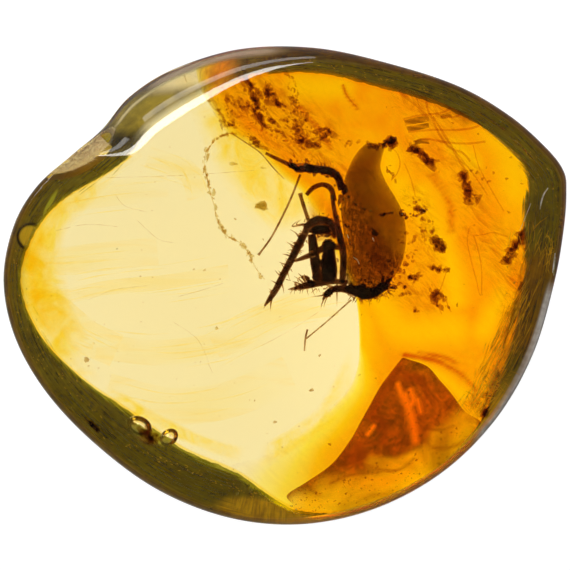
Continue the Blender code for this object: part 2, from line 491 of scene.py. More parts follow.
# The shoulder's brown skin, which also stands in as painted shade for the dark the steep edge
# shows: darker at the far left as deeper painted shade, with a painted sheen on the far shoulder,
# and golden where it is thin.
grain = place.noise(900, detail=4).span(0.3, 0.7)
brown_skin_shade_and_sheen = grain.mix((0.25, 0.17, 0.02, 1), (0.5, 0.36, 0.05, 1))
deeper_painted_shade = place.spot(*SHADED_SHOULDER).span(0, 0.3)
brown_skin_shade_and_sheen = deeper_painted_shade.mix(brown_skin_shade_and_sheen, grain.mix((0.05, 0.033, 0.001, 1), (0.13, 0.09, 0.003, 1)))
# A painted sheen: pale skin where the far shoulder catches the light.
painted_sheen = place.spot(*SHEEN_SHOULDER).span(0, 0.5)
brown_skin_shade_and_sheen = painted_sheen.mix(brown_skin_shade_and_sheen, (0.8, 0.7, 0.56, 1))
thin_skin = place.spot(*GOLDEN_EDGE).span(0, 0.3)
brown_skin_shade_and_sheen = thin_skin.mix(brown_skin_shade_and_sheen, (1.0, 0.75, 0.12, 1))
# The lines the wheel left, which run another way at the right, and the olive of the ground bevel.
near_lines = place.mapped(Rotation=(0, 0, 0.86)).mapped(Scale=(120, 2400, 120)).noise(1.0, detail=4)
far_lines = place.mapped(Rotation=(0, 0, -1.1)).mapped(Scale=(170, 2000, 170)).noise(1.0, detail=5)
at_right = place.node("SeparateXYZ", {}, {0: place}, 0).span(9 * MM, 12 * MM)
wheel_lines = at_right * far_lines + (1.0 - at_right) * near_lines
worn = (ground_mark * 1.5 + wheel_lines - 1.0).span(0.0, 0.5)
blotches = place.noise(420, detail=5, distortion=1.5).span(0.3, 0.7)
dark_lines = wheel_lines.span(0.35, 0.65)
olive = dark_lines.mix((0.06, 0.06, 0.0, 1), (0.16, 0.155, 0.001, 1))
faded_olive = dark_lines.mix((0.05, 0.045, 0.0, 1), (0.12, 0.1, 0.001, 1))
olive = ground_mark.span(0.8, 1.0).mix(faded_olive, olive)
rusty_olive = wheel_lines.span(0.46, 0.56).mix((0.07, 0.055, 0.0, 1), (0.85, 0.6, 0.001, 1))
olive = place.spot(*RUSTY_BEVEL).span(0, 0.3).mix(olive, rusty_olive)
olive = (blotches * 0.6).mix(olive, (0.025, 0.03, 0.0, 1))
olive = place.spot(*GOLDEN_PATCH).span(0, 0.3).mix(olive, (0.6, 0.45, 0.001, 1))
olive = place.spot(*YELLOW_LENS).span(0, 0.5).mix(olive, (0.8, 0.7, 0.02, 1))
# All of them over the clear resin, and the pitted crust in the hollow.
halo = ground_mark.span(0.0, 0.3).mix((1, 1, 1, 1), (1, 0.75, 0.1, 1))
skin_colour = worn.span(0.25, 0.75).mix(halo, olive)
bare = place.spot(*WHITISH_RIM).span(0, 0.2)
# The brown skin with its painted shade and sheen goes on along the steep edge, except at the whitish rim.
skin_colour = (edge_mark * (1.0 - bare)).mix(skin_colour, brown_skin_shade_and_sheen)
# A painted highlight: a pale line along the wide far shoulder.
painted_glint_mark = place.attribute("painted_glint")
skin_colour = (painted_glint_mark * place.spot(*PAINTED_GLINT_ZONE).span(0, 0.4)).mix(skin_colour, (0.6, 0.56, 0.45, 1))
pitted = place.noise(3000, detail=5).span(0.3, 0.7)
crust = pitted.mix((0.52, 0.35, 0.29, 1), (0.95, 0.79, 0.75, 1))
colour = hollow_mark.mix(skin_colour, crust)
roughness = worn * GROUND_ROUGHNESS + hollow_mark * HOLLOW_ROUGHNESS
relief = wheel_lines * worn + pitted * hollow_mark * 3.0
dents = {"Strength": 1.0, "Distance": SCRATCH_DEPTH * MM, "Height": relief}
normal = place.node("Bump", {}, dents)
vary(amber_paint, place, **{"Base Color": colour, "Roughness": roughness, "Normal": normal})
stain_and_shade, painted_glint, ground = edge_marks()
rings, in_hollow = hollowed(stone_rings())
stone = add_piece("amber", [closed_grid(rings)], amber_paint)
mark(stone, "edge", stain_and_shade * ~in_hollow)
mark(stone, "painted_glint", painted_glint * ~in_hollow)
mark(stone, "ground", ground * ~in_hollow)
mark(stone, "hollow", in_hollow * 1.0)
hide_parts("amber_stone")

# ------------------------------------------------------------------------------------------------
# The amber's own later flows. Where fresh resin ran over older resin it set to a deeper orange, as a
# body that fills the far side and the right of the stone, with a knife-sharp edge where it ran over
# the clear part and a long thin tongue round the near side of it.

FLOW_GAP = 0.35  # between the flow and the stone's underside
FLOW_TOP = 2.4
LEAST_THICKNESS = 0.02


def station_at(x, y):
    """The outline's reach, shoulder and bevel on the ray from the middle through each point."""
    turn = np.arctan2(y, x)
    around = np.arctan2(rim[:, 1], rim[:, 0])
    columns = (np.hypot(rim[:, 0], rim[:, 1]), *rim[:, 2:5].T)
    return (np.interp(turn, around, column, period=2 * math.pi) for column in columns)


def upper_skin(x, y):
    """Height of the dome over each point, falling past its edge along the shoulder's superellipse."""
    reach, shoulder, _, _ = station_at(x, y)
    out = np.clip(1 - (reach - BELLY - np.hypot(x, y)) / shoulder, 0, 1)
    up = (1 - out**SHOULDER_POWER) ** (1 / SHOULDER_POWER)
    return top_height(x, y) - (SHOULDER_BASE + SHOULDER_GROWTH * shoulder) * (1 - up)


def lower_skin(x, y):
    """Height of the underside below each point, rising past its edge along the bevel's superellipse."""
    reach, _, bevel, bevel_top = station_at(x, y)
    out = np.clip(1 - (reach - BELLY - np.hypot(x, y)) / bevel, 0, 1)
    up = (1 - out**BEVEL_POWER) ** (1 / BEVEL_POWER)
    return bevel_top + (under_height(np.hypot(x, y) / reach) - bevel_top) * up


def pod(left, right, top, base, fullness, steps=6, columns=24):
    """A closed body between a left and a right edge in plan, each a smooth curve through its points.
    Rings go from the left edge over the top to the right edge and back below, spaced as a cosine. A
    ring point lies this far from half height towards top or base: the fullness there, from its
    distances to the left and right edges and its share along."""
    left, right = smooth(left, steps), smooth(right, steps)
    angle = np.linspace(0, 2 * math.pi, columns, endpoint=False)[None, :]
    across = (1 - np.cos(angle)) / 2
    plan = left[:, None, :2] + across[..., None] * (right - left)[:, None, :2]
    width = np.linalg.norm((right - left)[:, :2], axis=1)[:, None]
    along = np.linspace(0, 1, len(left))[:, None]
    swell = fullness(across * width, (1 - across) * width, along)
    high = top(plan[..., 0], plan[..., 1]) if callable(top) else top
    low = base(plan[..., 0], plan[..., 1]) if callable(base) else base
    height = (high + low) / 2 + np.sign(np.sin(angle)) * np.minimum(swell, 1) * (high - low) / 2
    return closed_grid(np.concatenate([plan, height[..., None]], axis=-1)), swell


def flow_base(x, y):
    """A set gap above the stone's underside."""
    return lower_skin(x, y) + FLOW_GAP


def flow_top(x, y):
    """Level, or just above the base where that is higher."""
    return np.maximum(FLOW_TOP, flow_base(x, y) + LEAST_THICKNESS)


ORANGE_INNER = (
    (-6.79, 14.68), (-5.71, 13.25), (-4.86, 11.82), (-4.00, 10.61), (-2.43, 9.68), (-1.64, 9.11),
    (-1.07, 8.46), (-0.07, 7.46), (1.29, 6.32), (2.64, 4.11), (3.79, 1.68), (4.64, -0.18),
    (5.07, -1.75), (5.18, -4.25), (5.00, -5.89), (4.29, -7.46), (2.50, -9.25), (0.86, -10.54),
    (-1.07, -11.75), (-3.79, -12.61),
)
ORANGE_OUTER = (
    (-7.07, 13.96), (-5.50, 14.68), (-3.50, 15.46), (-1.43, 15.75), (1.11, 16.09), (3.71, 15.75),
    (6.26, 15.14), (9.09, 14.37), (12.37, 13.07), (15.01, 11.42), (16.86, 9.68), (18.19, 7.76),
    (18.38, 3.36), (18.11, -0.71), (17.32, -4.05), (16.04, -7.35), (13.77, -10.61), (9.16, -14.34),
    (2.61, -16.49), (-3.21, -15.46),
)
ORANGE_TAPERS = (  # how far the inner edge tapers, at each of its points
    *(0.9, 1.3, 1.5, 1.4, 1.2, 1.0, 1.0, 1.0, 1.0, 0.9),
    *(0.8, 0.5, 0.25, 0.3, 1.2, 2.5, 3.5, 4.0, 4.5, 4.5),
)


def orange_fullness(from_inner, from_outer, along):
    """Rises from the inner edge over the taper there, and falls over 0.4 mm to the outer edge and over
    the last tenth of the length."""
    taper = np.interp(along * (len(ORANGE_TAPERS) - 1), np.arange(len(ORANGE_TAPERS)), ORANGE_TAPERS)
    rise = np.clip(from_inner / taper, 0, 1)
    return np.clip(rise * np.clip(from_outer / 0.4, 0, 1) * np.clip((1 - along) / 0.1, 0, 1), 0, 1)


def nearness(rings, curves):
    """1 on any of these smooth curves in plan, falling as a smooth step to 0 at the curve's own width."""
    best = np.zeros(rings.shape[:2])
    for path, width in curves:
        curve = smooth(path, 6)
        away = np.hypot(rings[..., 0, None] - curve[:, 0], rings[..., 1, None] - curve[:, 1]).min(axis=-1)
        share = np.clip(1 - away / width, 0, 1)
        best = np.maximum(best, share * share * (3 - 2 * share))
    return best


SUNNY = (
    (((7.36, 9.11), (7.36, 7.96)), 1.3),
    (((8.00, 6.96), (8.64, 5.82)), 1.6),
    (((9.50, 6.39), (10.50, 3.82), (11.57, 1.68), (11.93, -1.04)), 1.5),
    (((14.64, 10.96), (15.93, 8.96), (16.21, 6.82)), 2.0),
    (((11.93, 9.68), (13.21, 8.61)), 1.2),
    (((1.07, 13.82), (3.93, 13.82)), 1.6),
    (((4.79, -1.04), (5.50, -3.18), (5.21, -6.04), (3.79, -8.46), (1.07, -11.04)), 2.0),
    (((6.43, -1.04), (8.21, -3.18), (11.79, -3.18)), 2.2),
    (((8.79, -5.46), (10.79, -6.32), (12.36, -7.61)), 0.8),
    (((13.93, -3.18), (15.36, -1.04)), 1.6),
    (((3.21, -16.18), (6.79, -15.18), (10.36, -13.18), (13.93, -9.96)), 1.0),
    (((-1.64, -15.32), (-0.07, -15.32)), 1.0),
    (((8.21, -14.75), (11.07, -12.75), (13.21, -10.61)), 1.6),
    (((15.71, 9.68), (16.64, 7.54)), 1.6),
)
RUSTY = (
    (((-5.36, 13.61), (-3.21, 11.82), (0.36, 9.68)), 2.2),
    (((-3.21, 14.68), (-0.36, 12.54), (2.50, 10.39)), 2.4),
    (((1.07, 9.68), (3.21, 8.61), (4.29, 7.18)), 1.4),
    (((8.50, 13.25), (10.36, 12.11), (11.93, 11.82)), 1.6),
    (((8.86, 9.82), (10.21, 8.39)), 1.2),
    (((9.07, 6.11), (9.93, 3.54), (10.07, 1.68)), 1.6),
    (((7.07, 1.25), (8.50, 0.11), (9.93, -0.75)), 2.0),
    (((11.07, 9.68), (12.64, 7.54), (13.36, 5.04)), 1.7),
    (((13.79, 3.54), (15.71, 1.68), (16.43, -1.04)), 2.4),
    (((13.21, -8.18), (13.93, -10.32)), 1.2),
)
CRACK_ARCS = (
    (((8.36, -4.89), (9.64, -5.11), (10.64, -5.32), (11.64, -5.82), (12.57, -6.46), (13.36, -7.32)), 0.3),
    (((9.50, -4.75), (11.07, -5.04), (11.93, -5.46)), 0.24),
    (((-1.64, 10.82), (0.36, 9.96), (1.93, 8.96)), 0.16),
    (((1.07, 12.39), (2.36, 10.96), (3.21, 9.54)), 0.3),
    (((10.36, 7.68), (11.50, 5.82), (11.64, 3.82)), 0.4),
    (((4.07, 13.96), (4.36, 13.25), (5.07, 12.39)), 0.22),
)
clear_plain = {"Roughness": 0.0, "IOR": 1.0, "Transmission Weight": 1.0}
orange_paint, place = new_paint("orange_resin", clear_plain)
depth = place.attribute("depth")
sunny = place.attribute("sunny")
rusty = place.attribute("rusty")
deeper = (
    (0.0, (1, 1, 1, 1)),
    (0.1, (1, 0.95, 0.4, 1)),
    (0.25, (1, 0.88, 0.12, 1)),
    (0.5, (1, 0.72, 0.01, 1)),
    (1.0, (1, 0.58, 0.0003, 1)),
)
resin = depth.node("ValToRGB", {"stops": deeper}, {"Fac": depth})
clouds = place.noise(260, detail=5, distortion=1.5).span(0.3, 0.7)
shade = (clouds * 0.6 + 0.4) * (1.0 - sunny) * depth
deep = shade.mix((1, 1, 1, 1), (0.94, 0.58, 0.5, 1))
wisps = place.mapped(Rotation=(0, 0, 0.75)).mapped(Scale=(450, 1300, 600))
wisps = wisps.noise(1.0, detail=6, roughness=0.65, distortion=2.0).span(0.42, 0.66)
rust = (wisps * (rusty * 0.7 + 0.06)).mix((1, 1, 1, 1), (0.5, 0.25, 0.2, 1))
cracks = place.attribute("cracks")
reddened = (cracks * (0.5 + 0.7 * clouds)).mix((1, 1, 1, 1), (0.65, 0.25, 0.2, 1))
vary(orange_paint, place, **{"Base Color": resin.tint(deep).tint(rust).tint(reddened)})
skin, swell = pod(ORANGE_INNER, ORANGE_OUTER, flow_top, flow_base, orange_fullness, steps=16, columns=140)
orange = add_piece("orange_flow", [skin], orange_paint)
rings = skin[0][:-2].reshape(*swell.shape, 3)
mark(orange, "depth", swell)
mark(orange, "sunny", nearness(rings, SUNNY))
mark(orange, "rusty", nearness(rings, RUSTY))
mark(orange, "cracks", nearness(rings, CRACK_ARCS))

# ------------------------------------------------------------------------------------------------
# The cracked wedge. Near the right-hand side the resin burst along curved cracks after it set, and
# the resin between them turned red-brown. Its bright orange and pale gold bands, where the cracks
# lie flat to the light, are painted reflections.

WEDGE_GAP = 0.6  # between the wedge and the stone's underside
WEDGE_TOP = 3.4
WEDGE_LEFT = (
    (8.21, -5.11), (7.36, -6.18), (6.64, -7.18), (5.93, -8.46), (5.29, -9.61), (4.57, -10.89),
    (3.29, -12.54), (1.50, -13.82), (0.14, -14.75), (0.64, -15.54), (0.29, -16.39),
)
WEDGE_RIGHT = (
    (8.36, -5.11), (9.93, -5.68), (10.86, -6.68), (11.71, -7.68), (12.57, -8.82), (14.06, -10.24),
    (11.31, -12.89), (7.79, -15.03), (5.82, -15.91), (3.71, -16.34), (1.29, -16.42),
)


def block(from_left, from_right, along):
    """Rises over 0.15 mm from both edges, and is full between them."""
    return np.clip(from_left / 0.15, 0, 1) * np.clip(from_right / 0.15, 0, 1)


def wedge_base(x, y):
    """A set gap above the stone's underside."""
    return lower_skin(x, y) + WEDGE_GAP


def wedge_top(x, y):
    """Level, or just above the base where that is higher."""
    return np.maximum(WEDGE_TOP, wedge_base(x, y) + LEAST_THICKNESS)


BRIGHT_CRACKS = (
    (((7.93, -6.96), (8.14, -7.61), (8.50, -8.18)), 0.35),
    (((8.79, -7.39), (9.00, -8.04), (8.79, -8.46)), 0.35),
    (((8.36, -7.75), (8.64, -8.54), (8.93, -9.54), (9.14, -10.89)), 0.5),
    (((9.29, -8.04), (9.50, -8.89)), 0.25),
    (((6.21, -9.89), (5.79, -10.46)), 0.3),
)
SWIRLS = (
    (((4.29, -12.32), (5.64, -12.61), (7.14, -13.04), (8.14, -12.89), (9.07, -12.18)), 0.2),
    (((8.64, -11.04), (9.64, -10.89), (10.43, -11.39), (11.64, -11.39), (12.93, -10.75)), 0.24),
    (((4.64, -10.32), (5.21, -9.46), (6.36, -9.32), (7.07, -10.04), (6.79, -11.04), (5.64, -11.04)), 0.3),
    (((3.21, -13.89), (4.64, -13.32), (6.50, -13.18)), 0.2),
    (((9.64, -9.96), (10.79, -10.18), (11.79, -9.89)), 0.2),
    (((7.86, -6.18), (6.79, -7.61), (5.93, -9.18)), 0.6),
    (((4.79, -11.04), (5.50, -12.04), (4.29, -11.89)), 0.7),
    (((8.57, -6.46), (9.50, -6.75), (9.93, -7.61)), 0.5),
)
GLEAMING_CRACKS = (
    (((3.21, -14.46), (6.21, -14.04), (8.93, -13.04), (11.07, -11.46), (12.64, -9.89)), 1.9),
    (((1.07, -15.46), (3.64, -15.46), (6.64, -15.32)), 1.6),
    (((7.86, -14.89), (11.07, -13.04), (13.21, -11.04)), 2.2),
    (((10.79, -10.61), (11.79, -10.18), (12.64, -9.46)), 1.1),
    (((6.07, -12.46), (7.86, -12.61), (9.50, -11.89)), 0.9),
)
wedge_paint, place = new_paint("red_brown_resin", clear_plain)
bright = place.attribute("bright")
swirled = place.attribute("swirled")
gleaming = place.attribute("gleaming")
patches = place.noise(420, detail=6, roughness=0.6, distortion=2.0).span(0.38, 0.62)
brown = patches.mix((0.25, 0.12, 0.04, 1), (0.62, 0.29, 0.08, 1))
crazed = place.noise(1700, detail=6, roughness=0.7, distortion=1.5).span(0.4, 0.62)
banks = place.noise(170, detail=3, distortion=1.0).span(0.4, 0.62)
brown = brown.tint(crazed.mix((0.72, 0.66, 0.6, 1), (1, 1, 1, 1)))
# Painted reflections: pale gold bands and bright orange streaks where the cracks lie flat to the light.
gold = banks.mix((0.42, 0.32, 0.28, 1), (1, 0.92, 0.85, 1))
colour = gleaming.span(0.0, 0.9).mix(brown, gold)
colour = (swirled * 0.6).mix(colour, (0.3, 0.1, 0.02, 1))
colour = bright.mix(colour, (1, 0.45, 0.1, 1))
dots = place.noise(4200, detail=2).span(0.66, 0.7)
vary(wedge_paint, place, **{"Base Color": dots.mix(colour, (0.25, 0.1, 0.02, 1))})
skin, swell = pod(WEDGE_LEFT, WEDGE_RIGHT, wedge_top, wedge_base, block, steps=16, columns=140)
wedge = add_piece("cracked_wedge", [skin], wedge_paint)
rings = skin[0][:-2].reshape(*swell.shape, 3)
mark(wedge, "bright", nearness(rings, BRIGHT_CRACKS))
mark(wedge, "swirled", nearness(rings, SWIRLS))
mark(wedge, "gleaming", nearness(rings, GLEAMING_CRACKS))

# ------------------------------------------------------------------------------------------------
# The insect's body. It is as long as a fingernail and drowned in the resin: a see-through brown pod,
# smooth at the pointed front and torn into flecks at the hairy tail, with a thin lens of torn yellow
# tissue beside it.

BODY_LEFT = (
    (5.64, 9.89), (5.14, 9.39), (4.64, 8.61), (4.21, 7.54), (4.00, 6.39), (3.93, 5.11), (4.07, 3.82),
    (4.14, 2.54), (4.14, 1.39), (4.21, 0.39), (4.79, -0.39), (5.64, -0.82),
)
BODY_RIGHT = (
    (6.07, 9.96), (6.93, 9.68), (6.79, 8.96), (6.71, 8.18), (7.14, 7.11), (7.71, 6.18), (8.29, 4.96),
    (8.50, 3.54), (8.36, 2.18), (8.00, 1.11), (7.21, 0.11), (6.00, -0.82),
)
BODY_TOP = 9.0
BODY_BASE = 4.0


def oval(from_left, from_right, along):
    """An ellipse across, and rounded off at both ends."""
    width = np.maximum(from_left + from_right, 1e-6)
    return 2 * np.sqrt(np.clip(from_left * from_right, 0, None)) / width * np.sqrt(1 - (2 * along - 1) ** 4)


body_paint, place = new_paint("insect_body", clear_plain, soak=((0.42, 0.28, 0.0), 450))
along_body = place.node("VectorMath", {"operation": "DOT_PRODUCT"}, {0: place, 1: (0.79, 0.61, 0)}, "Value")
waist = place.noise(700, detail=4) * 2.4 * MM
hind = (along_body + waist).span(9.5 * MM, 8.1 * MM)
fibres = place.mapped(Scale=(2600, 1500, 1500)).noise(1.0, detail=8, roughness=0.75, distortion=1.5)
torn = fibres.span(0.40, 0.60)
bruises = place.noise(520, detail=4, distortion=1.0).span(0.4, 0.6)
skin_tone = place.noise(400, detail=5).span(0.3, 0.7).mix((0.78, 0.7, 0.6, 1), (0.5, 0.42, 0.3, 1))
hind_tone = torn.mix((0.24, 0.12, 0.03, 1), bruises.mix((1, 0.8, 0.5, 1), (0.5, 0.36, 0.22, 1)))
vary(body_paint, place, **{"Base Color": hind.mix(skin_tone, hind_tone)})
body, _ = pod(BODY_LEFT, BODY_RIGHT, BODY_TOP, BODY_BASE, oval, steps=6, columns=40)
add_piece("insect_body", [body], body_paint)

TISSUE_LEFT = ((1.64, 6.39), (1.50, 5.04), (1.50, 3.54), (1.71, 1.68), (1.93, -0.04))
TISSUE_RIGHT = ((3.64, 6.68), (4.00, 5.04), (4.14, 3.25), (4.29, 1.46), (4.36, -0.18))
TISSUE_TOP, TISSUE_FOOT = 5.8, 5.2


def thin_lens(from_left, from_right, along):
    """Rises from every side over a fifth of the way across and along."""
    share = from_left / np.maximum(from_left + from_right, 1e-6)
    nearest = np.minimum(np.minimum(share, 1 - share), np.minimum(along, 1 - along))
    return np.clip(nearest * 5, 0, 1)


tissue_paint, place = new_paint("torn_tissue", clear_plain)
patches = place.noise(700, detail=5, distortion=1.0).span(0.35, 0.62)
shreds = patches.mix((1, 0.86, 0.35, 1), (0.8, 0.5, 0.1, 1))
depth = place.attribute("depth")
vary(tissue_paint, place, **{"Base Color": depth.mix((1, 1, 1, 1), shreds)})
skin, swell = pod(TISSUE_LEFT, TISSUE_RIGHT, TISSUE_TOP, TISSUE_FOOT, thin_lens, steps=10, columns=40)
mark(add_piece("torn_tissue", [skin], tissue_paint), "depth", swell)

# ------------------------------------------------------------------------------------------------
# The insect's legs. Stiff brown-black rods, thick at the thigh and thin at the foot, which lie folded
# and crossed beside the body.

THINNEST = 0.01  # radius of a thread


def thread(rows, start_height, end_height, steps=6, sides=8):
    """A round rod on a smooth curve through rows of place in plan and radius, its height going evenly
    from the first to the last. Each ring is a circle square to the curve."""
    rows = np.asarray(rows, float)
    heights = np.linspace(start_height, end_height, len(rows))[:, None]
    curve = smooth(np.concatenate([rows[:, :2], heights, rows[:, 2:]], axis=1), steps)
    path, radius = curve[:, :3], np.maximum(curve[:, 3], THINNEST)
    along = np.gradient(path, axis=0)
    along /= np.linalg.norm(along, axis=1, keepdims=True)
    across = np.cross(along, (0.0, 0.0, 1.0))
    across /= np.linalg.norm(across, axis=1, keepdims=True)
    over = np.cross(across, along)
    turn = np.linspace(0, 2 * math.pi, sides, endpoint=False)[None, :, None]
    ring = np.cos(turn) * across[:, None, :] + np.sin(turn) * over[:, None, :]
    return closed_grid(path[:, None, :] + radius[:, None, None] * ring)


def mottled_paint(name, plain, scale, ends, tones, soak=None, detail=3):
    """A paint whose colour goes from its first tone to its second as noise of this scale rises between
    its ends."""
    material, place = new_paint(name, plain, soak)
    first, second = tones
    mottle = place.noise(scale, detail).span(*ends)
    vary(material, place, **{"Base Color": mottle.mix((*first, 1), (*second, 1))})
    return material


leg_plain = {"Base Color": (0.5, 0.3, 0.15, 1), "Roughness": 0.0, "IOR": 1.0, "Transmission Weight": 0.97}
leg_tones = (0.95, 0.8, 0.6), (0.5, 0.3, 0.15)
leg_soak = (0.42, 0.22, 0.05), 11000
leg_paint = mottled_paint("insect_legs", leg_plain, 1500, (0.35, 0.7), leg_tones, leg_soak)

UPPER_LEG = (
    (-1.36, 9.25, 0.107), (-0.36, 8.75, 0.143), (0.57, 8.32, 0.179), (1.00, 8.11, 0.250),
    (1.50, 8.18, 0.286), (2.36, 8.11, 0.286), (3.21, 7.96, 0.286), (3.71, 7.54, 0.286),
    (4.00, 6.68, 0.286),
)
LONG_LEG = (
    (3.29, 6.32, 0.143), (3.50, 5.04, 0.179), (3.79, 3.61, 0.250), (4.07, 2.18, 0.250),
    (4.07, 1.11, 0.250), (4.00, 0.18, 0.214),
)
INNER_LEG = (
    (1.50, 6.32, 0.143), (2.00, 6.82, 0.179), (2.64, 7.04, 0.179), (3.21, 6.75, 0.214),
    (3.50, 5.89, 0.143),
)
STUB_LEG = (
    (1.07, 6.39, 0.179), (1.14, 6.11, 0.143), (1.36, 5.39, 0.143), (1.64, 4.54, 0.143),
)
KNEE = (
    (1.29, 3.54, 0.179), (1.71, 4.25, 0.286), (2.36, 4.54, 0.321), (3.07, 4.39, 0.286),
    (3.50, 3.82, 0.250), (3.43, 3.25, 0.107),
)
KNEE_WEB = (
    (1.43, 3.89, 0.250), (1.93, 4.04, 0.464), (2.57, 4.04, 0.536), (3.14, 4.04, 0.429),
    (3.43, 3.82, 0.214),
)
SHIN = (
    (1.50, 3.82, 0.250), (1.00, 2.89, 0.286), (0.50, 1.89, 0.268), (-0.07, 0.82, 0.250),
    (-0.64, -0.32, 0.232), (-1.07, -0.96, 0.179), (-1.43, -1.46, 0.071),
)
MIDDLE_LEG = (
    (1.86, 3.54, 0.286), (2.00, 2.54, 0.357), (2.14, 1.46, 0.357), (2.29, 0.32, 0.321),
)
SHORT_LEG = (
    (3.00, 3.18, 0.214), (3.07, 2.75, 0.393), (3.07, 1.96, 0.500), (3.07, 1.25, 0.607),
    (3.07, 0.25, 0.571),
)
POINTED_LEG = (
    (3.50, 2.89, 0.214), (2.64, 2.54, 0.250), (1.79, 2.11, 0.214), (1.07, 1.82, 0.143),
    (0.50, 1.61, 0.054),
)
LOWER_LEG = (
    (4.36, 0.11, 0.250), (3.64, 0.25, 0.214), (2.64, 0.18, 0.250), (1.50, -0.04, 0.250),
    (0.86, -0.18, 0.143), (0.21, -0.32, 0.036),
)
TAIL_LEG = (
    (7.21, 0.04, 0.214), (6.50, -0.39, 0.357), (5.71, -0.61, 0.429), (4.79, -0.39, 0.357),
    (3.79, -0.25, 0.250), (3.07, -0.46, 0.214), (2.64, -1.04, 0.071),
)
LEGS = (  # each with the heights of its first point and its last
    (UPPER_LEG, 8.6, 8.0),
    (LONG_LEG, 8.2, 7.4),
    (INNER_LEG, 7.0, 7.4),
    (STUB_LEG, 6.0, 6.4),
    (KNEE, 7.8, 7.6),
    (KNEE_WEB, 7.4, 7.4),
    (SHIN, 7.8, 6.6),
    (MIDDLE_LEG, 6.8, 6.2),
    (SHORT_LEG, 6.6, 6.2),
    (POINTED_LEG, 7.2, 6.4),
    (LOWER_LEG, 6.4, 6.0),
    (TAIL_LEG, 6.2, 5.8),
)
legs = [thread(*leg) for leg in LEGS]
add_piece("insect_legs", legs, leg_paint)

# ------------------------------------------------------------------------------------------------
# The insect's hairs. Stiff spines stand out from the shin, the feet and the tail, and a few long
# feelers and loose hairs lie near them, all of the same dark skin as the legs.

HAIR = 0.035
SPINE_HEIGHT, SPINE_DROP = 7.2, 0.5  # at the root, and from there down to the tip
FEELER = (
    (1.07, 7.75, 0.086), (0.43, 6.11, 0.082), (-0.14, 4.89, 0.079), (-0.93, 3.39, 0.075),
    (-1.64, 2.39, 0.075), (-1.86, 2.11, 0.107),
)
LOOSE_HAIR = (
    (-3.79, 10.68, 0.036), (-2.71, 9.96, 0.039), (-1.71, 9.25, 0.043), (-0.79, 8.18, 0.043),
    (-0.07, 7.46, 0.036),
)
TAIL_HAIR = (
    (4.64, -1.04, 0.071), (4.00, -1.61, 0.054), (2.79, -2.68, 0.054), (1.50, -3.75, 0.054),
)
HAIR_FOOT = (
    (1.57, -3.11, 0.071), (1.43, -3.75, 0.071), (1.36, -4.61, 0.054),
)
SPINES = (  # each one's bend, tip and root
    ((0.79, 3.61), (0.36, 3.89), (1.14, 3.04)),
    ((0.43, 2.82), (0.07, 3.04), (0.86, 2.54)),
    ((0.14, 2.11), (-0.21, 2.18), (0.57, 1.96)),
    ((-0.07, 1.46), (-0.43, 1.61), (0.29, 1.32)),
    ((-0.43, 0.75), (-0.71, 1.04), (0.00, 0.68)),
    ((-0.71, 0.18), (-1.00, 0.32), (-0.36, 0.04)),
    ((-0.93, -0.39), (-1.14, -0.25), (-0.64, -0.46)),
    ((-0.14, -0.18), (-0.07, -0.61), (-0.29, 0.25)),
    ((0.21, 0.75), (0.36, 0.32), (0.14, 1.11)),
    ((0.50, 4.11), (0.93, 4.54), (1.29, 4.25)),
    ((0.79, 4.25), (1.14, 4.61), (1.43, 4.25)),
    ((-1.29, -1.25), (-1.50, -1.68), (-1.00, -0.82)),
    ((-1.00, -1.39), (-1.00, -1.82), (-0.93, -0.89)),
    ((2.64, -1.18), (2.50, -1.68), (3.00, -0.46)),
    ((2.86, -1.04), (2.71, -1.61), (3.21, -0.39)),
    ((3.64, -0.89), (3.64, -1.46), (3.64, -0.32)),
    ((2.50, -0.75), (1.86, -0.82), (3.07, -0.61)),
    ((1.00, 0.39), (0.64, 0.61), (1.36, 0.04)),
    ((0.79, 0.18), (0.50, 0.25), (1.29, -0.04)),
    ((1.14, 0.61), (0.93, 0.82), (1.50, 0.11)),
    ((1.93, 1.61), (1.71, 1.39), (2.14, 1.75)),
    ((4.86, -0.96), (4.71, -1.25), (5.07, -0.54)),
    ((5.36, -1.11), (5.29, -1.39), (5.43, -0.61)),
    ((5.86, -1.04), (5.93, -1.25), (5.79, -0.61)),
    ((6.43, -0.82), (6.57, -1.04), (6.29, -0.39)),
    ((7.14, -0.32), (7.43, -0.46), (6.86, 0.04)),
    ((7.57, 0.18), (7.86, 0.11), (7.36, 0.46)),
)


def spine(bend, tip, root):
    """A cone on a curve from its root, past the bend, to its tip."""
    rows = [(*root, 2.6 * HAIR), (*bend, 1.4 * HAIR), (*tip, 0.3 * HAIR)]
    return thread(rows, SPINE_HEIGHT, SPINE_HEIGHT - SPINE_DROP, steps=4, sides=6)


LONG_HAIRS = ((FEELER, 8.4, 9.0), (LOOSE_HAIR, 8.8, 8.8), (TAIL_HAIR, 6.0, 5.0), (HAIR_FOOT, 5.0, 4.8))
hairs = [thread(*hair) for hair in LONG_HAIRS] + [spine(*points) for points in SPINES]
add_piece("insect_hairs", hairs, leg_paint)

# ------------------------------------------------------------------------------------------------
# The rough parts of the insect. Broken bristle and torn skin cling to its legs, its tail and the one
# arm that reaches out to the right, and fringe them with short hairs.

CRUMB_LIMIT = 0.94  # of the outline's reach, beyond which no crumb lies


